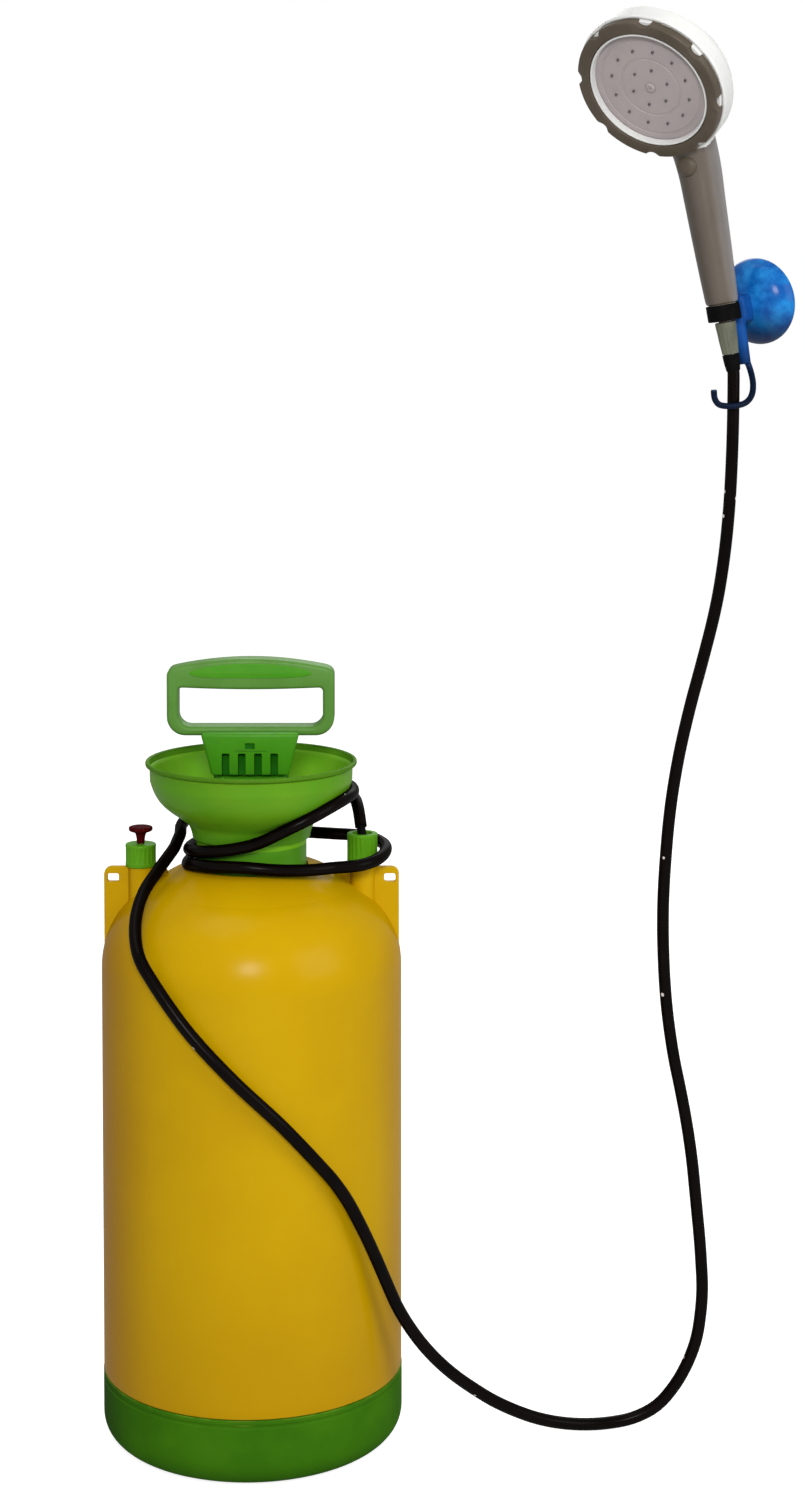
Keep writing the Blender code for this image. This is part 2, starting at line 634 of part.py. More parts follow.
def make_boot():
    corner = BOOT_CORNER_RADIUS
    outline = [(boot_radius - BOOT_WALL, BOOT_HEIGHT), (boot_radius, BOOT_HEIGHT)]
    for step in range(5):
        angle = math.radians(90 * step / 4)
        outline.append((boot_radius - corner + corner * math.cos(angle), corner - corner * math.sin(angle)))
    outline.append((0.0, 0.0))
    boot = turned("base_boot", [(0.0, BOOT_HEIGHT)] + outline[1:], boot_green, steps=32)
    inner_corner = corner - BOOT_WALL
    bore = boot_radius - BOOT_WALL
    hollow = [(0.0, BOOT_HEIGHT + 0.01), (bore, BOOT_HEIGHT + 0.01)]
    for step in range(4):
        angle = math.radians(90 * step / 3)
        hollow.append((bore - inner_corner + inner_corner * math.cos(angle),
                       BOOT_WALL + inner_corner - inner_corner * math.sin(angle)))
    hollow.append((0.0, BOOT_WALL))
    cut(boot, turned("boot_hollow", hollow, steps=32))
    return boot


def make_funnel():
    washer("funnel_gasket", NECK_RADIUS + RUNNING_GAP, FUNNEL_COLLAR_RADIUS - 0.0006,
           TANK_TOP + GAP, TANK_TOP + GAP + GASKET_THICKNESS, rubber_black, steps=24)
    lip_foot = FUNNEL_HEIGHT - FUNNEL_LIP_THICKNESS
    bowl = [(radius, funnel_foot + height) for radius, height in reversed(FUNNEL_BOWL)]
    bowl_top = (FUNNEL_BOWL[-1][0] + 0.0004, funnel_foot + lip_foot - 0.0012)
    outer = [(FUNNEL_RIM_RADIUS, funnel_rim), (FUNNEL_RIM_RADIUS, funnel_foot + lip_foot), bowl_top] + bowl
    outer += [(FUNNEL_COLLAR_RADIUS, funnel_foot + FUNNEL_COLLAR_HEIGHT), (FUNNEL_COLLAR_RADIUS, funnel_foot)]
    inner = inset([bowl_top] + bowl, FUNNEL_WALL)
    collar_bore = NECK_RADIUS + RUNNING_GAP
    section = outer + [(collar_bore, funnel_foot), (collar_bore, funnel_foot + FUNNEL_COLLAR_HEIGHT + 0.003)]
    section += list(reversed(inner))
    section.append((bowl_top[0] - FUNNEL_WALL + 0.0008, funnel_rim))
    return turned("funnel", section, fitting_green, steps=32, closed=True)


# Pump.

def make_pump_cap():
    washer("pump_seal", NECK_BORE_RADIUS + 0.0002, NECK_RADIUS - 0.0003, seal_foot,
           seal_foot + PUMP_SEAL_THICKNESS, rubber_black)
    thread_radius = NECK_BORE_RADIUS - RUNNING_GAP
    thread_foot = cap_flange_foot - CAP_THREAD_LENGTH
    section = [(CAP_RADIUS - 0.001, cap_top), (CAP_RADIUS, cap_top - 0.001), (CAP_RADIUS, cap_flange_top),
               (CAP_FLANGE_RADIUS, cap_flange_top), (CAP_FLANGE_RADIUS, cap_flange_foot),
               (thread_radius, cap_flange_foot), (thread_radius, thread_foot), (cap_bore_radius, thread_foot),
               (cap_bore_radius, cap_ceiling), (GUIDE_RADIUS + RUNNING_GAP, cap_ceiling),
               (GUIDE_RADIUS + RUNNING_GAP, cap_top)]
    cap = turned("pump_cap", section, fitting_green, steps=24, closed=True)
    for i in range(CAP_GROOVES):
        angle = 2 * math.pi * (i + 0.5) / CAP_GROOVES
        groove = cylinder("cap_groove_%02d" % i, CAP_GROOVE_RADIUS, cap_flange_top + 0.004, cap_top + 0.002, sides=6,
                          location=((CAP_RADIUS + 0.0002) * math.cos(angle),
                                    (CAP_RADIUS + 0.0002) * math.sin(angle), 0))
        cut(cap, groove)
    return cap


def make_barrel():
    washer("pump_barrel", barrel_bore_radius, BARREL_RADIUS, barrel_end, barrel_top, pump_white, steps=24)
    seat_radius = barrel_bore_radius - GAP
    seat_foot = barrel_end + 0.0005
    seat_top = seat_foot + SEAT_THICKNESS
    stem_foot = seat_foot - SEAT_STEM_LENGTH
    outline = [(0.0, seat_top), (seat_radius, seat_top), (seat_radius, seat_foot), (SEAT_STEM_RADIUS, seat_foot),
               (SEAT_STEM_RADIUS, stem_foot + 0.0015), (SEAT_HEAD_RADIUS, stem_foot + 0.0015),
               (SEAT_HEAD_RADIUS, stem_foot), (0.0, stem_foot)]
    seat = turned("valve_seat", outline, pump_white)
    for i in range(SEAT_HOLES):
        angle = 2 * math.pi * i / SEAT_HOLES
        drill = cylinder("seat_hole_%d" % i, SEAT_HOLE_RADIUS, seat_foot - 0.005, seat_top + 0.005, sides=10,
                         location=(SEAT_HOLE_CIRCLE * math.cos(angle), SEAT_HOLE_CIRCLE * math.sin(angle), 0))
        cut(seat, drill)
    disc_top = seat_foot - GAP
    washer("foot_valve_disc", SEAT_STEM_RADIUS + GAP, VALVE_DISC_RADIUS, disc_top - VALVE_DISC_THICKNESS,
           disc_top, rubber_black)


def make_plunger():
    guide = [(GUIDE_RADIUS, guide_top), (GUIDE_RADIUS, guide_flange_top), (GUIDE_FLANGE_RADIUS, guide_flange_top),
             (GUIDE_FLANGE_RADIUS, guide_flange_foot), (ROD_RADIUS + RUNNING_GAP, guide_flange_foot),
             (ROD_RADIUS + RUNNING_GAP, guide_top)]
    turned("rod_guide", guide, pump_white, steps=20, closed=True)
    stud_top = piston_top + GAP
    stud_foot = piston_top - ROD_STUD_LENGTH
    rod = turned("piston_rod", [(0.0, rod_top), (ROD_RADIUS, rod_top), (ROD_RADIUS, stud_top),
                                (ROD_STUD_RADIUS, stud_top), (ROD_STUD_RADIUS, stud_foot), (0.0, stud_foot)],
                 rod_steel, steps=20)
    flat = math.radians(90)
    cut(rod, cylinder("rod_pin_hole", PIN_RADIUS + GAP, -0.02, 0.02, sides=12, location=(0, 0, pin_height),
                      rotation=(flat, 0, 0)))
    bore = ROD_STUD_RADIUS + GAP
    upper = piston_top - PISTON_FLANGE
    lower = piston_foot + PISTON_FLANGE
    turned("piston", [(PISTON_RADIUS, piston_top), (PISTON_RADIUS, upper), (PISTON_HUB_RADIUS, upper),
                      (PISTON_HUB_RADIUS, lower), (PISTON_RADIUS, lower), (PISTON_RADIUS, piston_foot),
                      (bore, piston_foot), (bore, piston_top)], pump_white, closed=True)
    washer("piston_seal", PISTON_HUB_RADIUS + GAP, barrel_bore_radius - 0.0002, lower + GAP, upper - GAP,
           rubber_black)
    nut_top = piston_foot - GAP
    nut = cylinder("piston_nut", PISTON_NUT_RADIUS, nut_top - PISTON_NUT_THICKNESS, nut_top, rod_steel, sides=6)
    cut(nut, cylinder("piston_nut_bore", ROD_STUD_RADIUS + GAP, nut_top - 0.02, nut_top + 0.01, sides=16))


def make_hub():
    # The tapered block that carries the handle and covers the cap's middle.
    bm = bmesh.new()
    bmesh.ops.create_cube(bm, size=1.0)
    for vert in bm.verts:
        at_top = vert.co.z > 0
        width = HUB_TOP_WIDTH if at_top else HUB_BOTTOM_WIDTH
        depth = HUB_TOP_DEPTH if at_top else HUB_BOTTOM_DEPTH
        height = hub_top + HANDLE_BOTTOM_BAR / 2 if at_top else hub_foot
        vert.co = (math.copysign(width / 2, vert.co.x), math.copysign(depth / 2, vert.co.y), height)
    hub = place(from_bmesh("handle_hub", bm))
    soft = hub.modifiers.new("Soft edges", "BEVEL")
    soft.width = 0.003
    soft.segments = 2
    soft.limit_method = "ANGLE"
    return hub


def handle_outlines():
    half = HANDLE_WIDTH / 2
    top = HANDLE_HEIGHT
    side_top = top - HANDLE_CROWN
    crown_steps = 6
    outer = [(-half, 0.0, HANDLE_LOW_CORNER), (half, 0.0, HANDLE_LOW_CORNER),
             (half, side_top, HANDLE_TOP_CORNER)]
    for step in range(1, crown_steps):
        share = step / crown_steps
        outer.append((half - HANDLE_WIDTH * share, side_top + HANDLE_CROWN * math.sin(math.pi * share) ** 0.8, 0))
    outer.append((-half, side_top, HANDLE_TOP_CORNER))
    inner_half = half - HANDLE_SIDE
    grip_foot = side_top - HANDLE_GRIP_END
    opening = [(-inner_half, HANDLE_BOTTOM_BAR, OPENING_LOW_CORNER),
               (inner_half, HANDLE_BOTTOM_BAR, OPENING_LOW_CORNER), (inner_half, grip_foot, OPENING_TOP_CORNER)]
    for step in range(1, crown_steps):
        share = step / crown_steps
        opening.append((inner_half - 2 * inner_half * share,
                        grip_foot - HANDLE_GRIP_SAG * math.sin(math.pi * share), 0))
    opening.append((-inner_half, grip_foot, OPENING_TOP_CORNER))
    return [rounded(outer), rounded(opening, 3)[::-1]]


def make_handle():
    upright = (math.radians(90), 0, 0)
    handle = plate("pump_handle", handle_outlines(), HANDLE_THICKNESS, HANDLE_EDGE, location=(0, 0, hub_top),
                   rotation=upright)
    helpers.objects.unlink(handle)
    parts.objects.link(handle)
    handle.hide_render = False
    handle.display_type = "TEXTURED"
    handle.data.materials.append(fitting_green)
    join(handle, make_hub())
    clearance = GUIDE_RADIUS + 0.0015
    cut(handle, cylinder("hub_recess", clearance, hub_foot - 0.01, guide_top + 0.002))
    cut(handle, cylinder("rod_socket", ROD_RADIUS + GAP, hub_foot - 0.01, rod_socket_top))
    for i in range(HUB_SLOTS):
        x = (i - (HUB_SLOTS - 1) / 2) * HUB_RIB_PITCH
        for side, label in ((-1, "front"), (1, "back")):
            outer = HUB_TOP_DEPTH
            inner = HUB_BOTTOM_DEPTH / 2 - HUB_SLOT_DEPTH
            low_y, high_y = sorted((side * inner, side * outer))
            slot = box("hub_slot_%s_%d" % (label, i), (x - HUB_SLOT_WIDTH / 2, low_y, hub_foot - 0.004),
                       (x + HUB_SLOT_WIDTH / 2, high_y, hub_foot + HUB_SLOT_HEIGHT))
            cut(handle, slot)
    pin_reach = HUB_BOTTOM_DEPTH / 2 - HUB_SLOT_DEPTH - 0.001
    cut(handle, cylinder("pin_hole", PIN_RADIUS + GAP, -0.03, 0.03, sides=12, location=(0, 0, pin_height),
                         rotation=upright))
    cylinder("handle_pin", PIN_RADIUS, -pin_reach, pin_reach, rod_steel, sides=12, location=(0, 0, pin_height),
             rotation=upright)


# Relief valve on the left port.

def make_relief_valve():
    at = {"location": (-port_x, 0, 0)}
    top = fitting_foot + RELIEF_HEIGHT
    bore = PORT_RADIUS + RUNNING_GAP
    ceiling = top - RELIEF_ROOF
    stem_bore = STEM_RADIUS + RUNNING_GAP
    turned("relief_body", [(RELIEF_RADIUS - 0.0008, top), (RELIEF_RADIUS, top - 0.0008), (RELIEF_RADIUS, fitting_foot),
                           (bore, fitting_foot), (bore, ceiling), (stem_bore, ceiling), (stem_bore, top)],
           fitting_green, steps=22, closed=True, **at)
    seal_low = port_top + GAP
    seal_high = seal_low + SEAL_THICKNESS
    cylinder("relief_seal", SEAL_RADIUS, seal_low, seal_high, rubber_black, **at)
    flange_low = seal_high + GAP
    flange_high = flange_low + STEM_FLANGE_THICKNESS
    knob_foot = top + GAP
    turned("relief_stem", [(0.0, knob_foot + KNOB_SOCKET - GAP), (STEM_RADIUS, knob_foot + KNOB_SOCKET - GAP),
                           (STEM_RADIUS, flange_high), (STEM_FLANGE_RADIUS, flange_high),
                           (STEM_FLANGE_RADIUS, flange_low), (0.0, flange_low)], pump_white, steps=20, **at)
    disc_foot = knob_foot + KNOB_STEM_LENGTH
    disc_top = disc_foot + KNOB_DISC
    socket = STEM_RADIUS + GAP / 2
    turned("relief_knob", [(0.0, disc_top), (KNOB_RADIUS - 0.0006, disc_top), (KNOB_RADIUS, disc_top - 0.0006),
                           (KNOB_RADIUS, disc_foot), (KNOB_WAIST_RADIUS, disc_foot - 0.0004),
                           (KNOB_FOOT_RADIUS, knob_foot), (socket, knob_foot),
                           (socket, knob_foot + KNOB_SOCKET), (0.0, knob_foot + KNOB_SOCKET)],
           knob_red, steps=24, **at)
    low = flange_high + GAP + SPRING_WIRE
    high = ceiling - GAP - SPRING_WIRE
    points_per_turn = 8
    count = SPRING_TURNS * points_per_turn
    coil = []
    for i in range(count + 1):
        angle = 2 * math.pi * i / points_per_turn
        coil.append((SPRING_RADIUS * math.cos(angle), SPRING_RADIUS * math.sin(angle), low + (high - low) * i / count))
    tube("relief_spring", coil, SPRING_WIRE, 1, mat=rod_steel, **at)


# Outlet on the right port.

def spigot_rotation():
    heading = Matrix.Rotation(math.radians(SPIGOT_HEADING), 3, "Z")
    tilt = Matrix.Rotation(math.radians(SPIGOT_TILT), 3, "Y")
    return (heading @ tilt).to_euler()


def make_outlet():
    at = {"location": (port_x, 0, 0)}
    washer_low = port_top + GAP
    washer_high = washer_low + OUTLET_WASHER
    washer("outlet_washer", OUTLET_BORE + 0.0002, PORT_RADIUS - 0.0002, washer_low, washer_high, rubber_black,
           **at)
    flange_low = washer_high + GAP
    flange_high = flange_low + OUTLET_FLANGE
    pipe_foot = flange_low - OUTLET_PIPE_LENGTH
    body = turned("outlet_body", [(0.0, spigot_bend), (OUTLET_COLUMN_RADIUS, spigot_bend - 0.002),
                                  (OUTLET_COLUMN_RADIUS, flange_high), (PORT_RADIUS - 0.0002, flange_high),
                                  (PORT_RADIUS - 0.0002, flange_low), (OUTLET_PIPE_RADIUS, flange_low),
                                  (OUTLET_PIPE_RADIUS, pipe_foot), (0.0, pipe_foot)], pump_white, steps=20, **at)
    bend = {"location": (port_x, 0, spigot_bend), "rotation": spigot_rotation()}
    join(body, cylinder("spigot", SPIGOT_RADIUS, -0.003, SPIGOT_LENGTH, sides=16, **bend))
    cut(body, cylinder("outlet_bore", OUTLET_PIPE_RADIUS - 0.0018, pipe_foot - 0.01, spigot_bend - 0.004, sides=12,
                       **at))
    cut(body, cylinder("spigot_bore", SPIGOT_BORE, -0.006, SPIGOT_LENGTH + 0.01, sides=12, **bend))
    bore = PORT_RADIUS + RUNNING_GAP
    ceiling = outlet_top - OUTLET_ROOF
    turned("outlet_nut", [(OUTLET_RADIUS - 0.0008, outlet_top), (OUTLET_RADIUS, outlet_top - 0.0008),
                          (OUTLET_RADIUS, fitting_foot), (bore, fitting_foot), (bore, ceiling),
                          (OUTLET_MOUTH_RADIUS, ceiling), (OUTLET_MOUTH_RADIUS, outlet_top)],
           fitting_green, steps=22, closed=True, **at)
    washer("dip_tube", DIP_TUBE_RADIUS - DIP_TUBE_WALL, DIP_TUBE_RADIUS, DIP_TUBE_END, pipe_foot - GAP, pump_white,
           steps=20, **at)
    strainer_top = STRAINER_END + STRAINER_HEIGHT
    hole = DIP_TUBE_RADIUS + GAP
    inner = STRAINER_RADIUS - STRAINER_WALL
    strainer = turned("strainer", [(hole + 0.001, strainer_top), (STRAINER_RADIUS, strainer_top - 0.004),
                                   (STRAINER_RADIUS, STRAINER_END), (inner, STRAINER_END),
                                   (inner, strainer_top - 0.006), (hole, strainer_top - 0.003),
                                   (hole, strainer_top)], pump_white, steps=20, closed=True, **at)
    for i in range(STRAINER_SLOTS // 2):
        slot = box("strainer_slot_%d" % i, (-0.02, -STRAINER_SLOT_WIDTH / 2, STRAINER_END + 0.004),
                   (0.02, STRAINER_SLOT_WIDTH / 2, strainer_top - 0.010),
                   rotation=(0, 0, math.pi * (i + 0.5) / (STRAINER_SLOTS / 2)), **at)
        cut(strainer, slot)


# Hose.

def hose_start():
    # The end of the outlet's spigot, where the hose begins, and the way it points.
    way = spigot_rotation().to_matrix() @ Vector((0, 0, 1))
    return Vector((port_x, 0, spigot_bend)) + way * (SPIGOT_LENGTH + GAP), way


def winding_knots():
    # The knots behind the neck and in front, the loop round the outlet, and the knots after it.
    front, right, back = OUTLET_LOOP_HEIGHTS
    loop = []
    steps = 4
    for step in range(-steps, steps + 1):
        angle = math.radians(90 * step / steps)
        x = outlet_loop_centre + OUTLET_LOOP_RADIUS * math.cos(angle)
        y = OUTLET_LOOP_RADIUS * math.sin(angle)
        height = right + (back - right if step > 0 else front - right) * abs(math.sin(angle))
        loop.append((360 + math.degrees(math.atan2(y, x)), math.hypot(x, y), height))
    return WINDING_BEHIND + loop + WINDING_AHEAD


def winding_route():
    start, way = hose_start()
    knots = winding_knots()
    last = len(knots) - 1
    slopes = []
    for i, knot in enumerate(knots):
        before, after = knots[max(i - 1, 0)], knots[min(i + 1, last)]
        back, ahead = knot[0] - before[0], after[0] - knot[0]
        slope = []
        for axis in (1, 2):
            rise_back = (knot[axis] - before[axis]) / back if back else (after[axis] - knot[axis]) / ahead
            rise_ahead = (after[axis] - knot[axis]) / ahead if ahead else rise_back
            slope.append((back * rise_ahead + ahead * rise_back) / (back + ahead))
        slopes.append(slope)
    route = []
    for i in range(last):
        span = knots[i + 1][0] - knots[i][0]
        steps = max(2, round(span / 5))
        for step in range(steps):
            t = step / steps
            value = [(2 * t ** 3 - 3 * t * t + 1) * knots[i][axis]
                     + (t ** 3 - 2 * t * t + t) * span * slopes[i][axis - 1]
                     + (3 * t * t - 2 * t ** 3) * knots[i + 1][axis]
                     + (t ** 3 - t * t) * span * slopes[i + 1][axis - 1]
                     for axis in (1, 2)]
            angle = math.radians(knots[i][0] + span * t)
            route.append(Vector((value[0] * math.cos(angle), value[0] * math.sin(angle), value[1])))
    angle = math.radians(knots[-1][0])
    route.append(Vector((knots[-1][1] * math.cos(angle), knots[-1][1] * math.sin(angle), knots[-1][2])))
    straight = start + way * 2 * HOSE_RADIUS
    route = smooth_route([start, straight] + route, WINDING_POINT_PITCH)
    return [start, straight] + without_start(route, 3 * HOSE_RADIUS)


def handset_up():
    return leaning @ Vector((0, 0, 1))


def run_route():
    foot = Vector(HANDSET_FOOT)
    straight = foot - handset_up() * 2 * HOSE_RADIUS
    route = smooth_route(RUN_ROUTE + [straight, foot], RUN_POINT_PITCH)
    route = without_start(route[::-1], 3 * HOSE_RADIUS)[::-1]
    return route + [straight, foot]


def least_gap(route):
    # The least air between turns of the tube, measured on points half a diameter apart.
    points = smooth_route(route, 0.0022)
    step = (points[1] - points[0]).length
    skip = int(4 * HOSE_RADIUS * math.pi / step)
    nearest = min((points[i] - points[j]).length for i in range(len(points)) for j in range(i + skip, len(points)))
    return nearest - 2 * HOSE_RADIUS


def length_of(route):
    return sum((b - a).length for a, b in zip(route, route[1:]))


def make_hose():
    winding = winding_route()
    run = run_route()
    joint = Vector(winding[-1])
    onward = (run[1] - winding[-2]).normalized()
    winding = without_start(winding[::-1], 3 * HOSE_RADIUS)[::-1]
    winding += [joint - onward * 2 * HOSE_RADIUS, joint - onward * GAP / 2]
    run = [joint + onward * GAP / 2, joint + onward * 2 * HOSE_RADIUS] + without_start(run, 3 * HOSE_RADIUS)
    tube("hose_winding", winding, HOSE_RADIUS, 1, mat=hose_black)
    tube("hose_run", run, HOSE_RADIUS, 2, mat=hose_black)
    print("winding: least gap to itself %.2f mm" % (1000 * least_gap(winding)))
    print("hose length: winding %.3f m, run %.3f m" % (length_of(winding), length_of(run)))


# Handset.

def make_handset():
    at = {"parent": handset_frame}
    neck = [(0.0, HANDLE_START + 0.004), (NECK_PLUG_RADIUS, HANDLE_START + 0.004),
            (NECK_PLUG_RADIUS, NUT_LENGTH + 3 * GAP), (SPOUT_RADIUS, NUT_LENGTH + 3 * GAP),
            (SPOUT_RADIUS, SPOUT_START), (0.0, SPOUT_START)]
    body = turned("handset_body", neck, handset_grey, steps=20, **at)
    grip_length = HEAD_HEIGHT - HANDLE_START
    sections = [(0.0, HANDLE_START + grip_length * share, radius) for share, radius in GRIP_SECTIONS]
    sections += [(forward, HEAD_HEIGHT - below, radius) for forward, below, radius in NECK_SECTIONS]
    grip_points = [(0.0, y, z) for y, z, radius in sections]
    grip_radii = [radius for y, z, radius in sections]
    grip = tube("handset_grip", grip_points, 0.0125, 4, grip_radii, mat=None, **at)
    join(body, mesh_from_curve(grip))
    back = [(0.0, HEAD_BACK[0][1])] + HEAD_BACK
    join(body, turned("handset_head", back, steps=36, parent=head_frame))
    hollow = [(radius, height) for radius, height in inset(HEAD_BACK, HEAD_WALL)]
    front = HEAD_BACK[0][1] + 0.01
    hollow = [(0.0, front), (hollow[0][0], front)] + hollow[1:-1] + [(0.0, HEAD_BACK[-1][1] + HEAD_WALL)]
    cut(body, turned("head_hollow", hollow, steps=28, parent=head_frame))
    ring_back = HEAD_BACK[0][1] + GAP
    cut(body, cylinder("ring_room", RING_RADIUS + 0.0008, ring_back - GAP / 2, 0.02, sides=36, parent=head_frame))
    way = [(0.0, 0.0, 0.0)] + grip_points[:-2] + [(0.0, -HEAD_FORWARD * 0.34, HEAD_HEIGHT * 0.9)]
    waterway = tube("waterway", way, WATERWAY_RADIUS, 2, mat=None, **at)
    cut(body, mesh_from_curve(waterway))
    ring = turned("spray_ring", [(RING_RADIUS - 0.0015, 0.0), (RING_RADIUS, -0.0015), (RING_RADIUS, ring_back),
                                 (RING_SKIRT_RADIUS, ring_back), (RING_SKIRT_RADIUS, ring_back - 0.0045),
                                 (RING_INNER_RADIUS + 0.003, ring_back - 0.0045), (RING_INNER_RADIUS, -0.005),
                                 (RING_INNER_RADIUS, 0.0)], ring_dark, steps=32, closed=True, parent=head_frame)
    for i in range(RING_NOTCHES):
        angle = 2 * math.pi * (i + 0.5) / RING_NOTCHES
        notch = cylinder("ring_notch_%d" % i, RING_NOTCH_RADIUS, -0.0042, 0.005, sides=10, parent=head_frame,
                         location=((RING_RADIUS + 0.0012) * math.cos(angle),
                                   (RING_RADIUS + 0.0012) * math.sin(angle), 0))
        cut(ring, notch)
    rim_outer = RING_INNER_RADIUS - RUNNING_GAP
    turned("face_rim", [(rim_outer, -0.0006), (rim_outer, -RIM_DEPTH), (RIM_INNER_RADIUS, -RIM_DEPTH),
                        (rim_outer - 0.0012, -0.0006)], pump_white, steps=32, closed=True, parent=head_frame)
    plate_high = -RIM_DEPTH - GAP
    plate_low = plate_high - PLATE_THICKNESS
    face = cylinder("face_plate", PLATE_RADIUS, plate_low, plate_high, face_grey, sides=36, parent=head_frame)
    mat_high = plate_low - GAP
    mat_low = mat_high - MAT_THICKNESS
    mat = cylinder("nozzle_mat", RIM_INNER_RADIUS, mat_low, mat_high, rubber_black, sides=20, parent=head_frame)
    for row, (circle, count) in enumerate(NOZZLE_RINGS):
        for i in range(count):
            angle = 2 * math.pi * i / count
            spot = {"parent": head_frame, "location": (circle * math.cos(angle), circle * math.sin(angle), 0)}
            cut(face, cylinder("nozzle_hole_%d_%02d" % (row, i), NOZZLE_HOLE_RADIUS, plate_low - 0.005,
                               plate_high + 0.005, sides=6, **spot))
            join(mat, cylinder("nozzle_%d_%02d" % (row, i), NOZZLE_RADIUS, mat_high - 0.0005, plate_high + 0.0012,
                               sides=5, **spot))
    cut(face, cylinder("screw_hole", FACE_SCREW_RADIUS - 0.0012, plate_low - 0.005, plate_high + 0.005, sides=16,
                       parent=head_frame))
    turned("face_screw", [(0.0, plate_high + 0.0016), (FACE_SCREW_RADIUS - 0.0008, plate_high + 0.0016),
                          (FACE_SCREW_RADIUS, plate_high + 0.0008), (FACE_SCREW_RADIUS, plate_high + GAP),
                          (FACE_SCREW_RADIUS - 0.0016, plate_high + GAP), (FACE_SCREW_RADIUS - 0.0016, plate_low),
                          (0.0, plate_low)], rod_steel, steps=20, parent=head_frame)
    forward = (math.radians(90), 0, 0)
    button_height = HEAD_HEIGHT - BUTTON_BELOW_HEAD
    button_seat = {"parent": handset_frame, "location": (0, 0, button_height), "rotation": forward}
    cut(body, cylinder("button_well", BUTTON_RADIUS + RUNNING_GAP, 0.0095, 0.03, **button_seat))
    button_foot = 0.0095 + 0.0024
    turned("stop_button", [(0.0, button_foot + BUTTON_LENGTH * 0.62),
                           (BUTTON_RADIUS * 0.6, button_foot + BUTTON_LENGTH * 0.56),
                           (BUTTON_RADIUS * 0.9, button_foot + BUTTON_LENGTH * 0.42),
                           (BUTTON_RADIUS, button_foot + BUTTON_LENGTH * 0.25), (BUTTON_RADIUS, button_foot),
                           (0.0, button_foot)], ring_dark, **button_seat)


def make_hose_end():
    at = {"parent": handset_frame}
    foot = 2 * GAP
    bore = FERRULE_RADIUS + RUNNING_GAP
    turned("handset_nut", [(NUT_TOP_RADIUS, NUT_LENGTH), (NUT_TOP_RADIUS - 0.0006, NUT_LENGTH * 0.5),
                           (NUT_FOOT_RADIUS, foot), (bore, foot), (bore, NUT_FLOOR),
                           (NUT_THREAD_RADIUS, NUT_FLOOR), (NUT_THREAD_RADIUS, NUT_LENGTH)],
           handset_grey, closed=True, **at)
    flange_low = NUT_FLOOR + GAP
    flange_high = flange_low + FERRULE_FLANGE
    turned("hose_ferrule", [(FERRULE_FLANGE_RADIUS, flange_high), (FERRULE_FLANGE_RADIUS, flange_low),
                            (FERRULE_RADIUS, flange_low), (FERRULE_RADIUS, GAP), (FERRULE_BORE, GAP),
                            (FERRULE_BORE, flange_high)], rod_steel, steps=20, closed=True, **at)
    washer_low = flange_high + GAP
    washer("hose_washer", FERRULE_BORE, FERRULE_FLANGE_RADIUS, washer_low, washer_low + HOSE_WASHER_THICKNESS,
           rubber_black, steps=20, **at)


# Suction-cup holder.

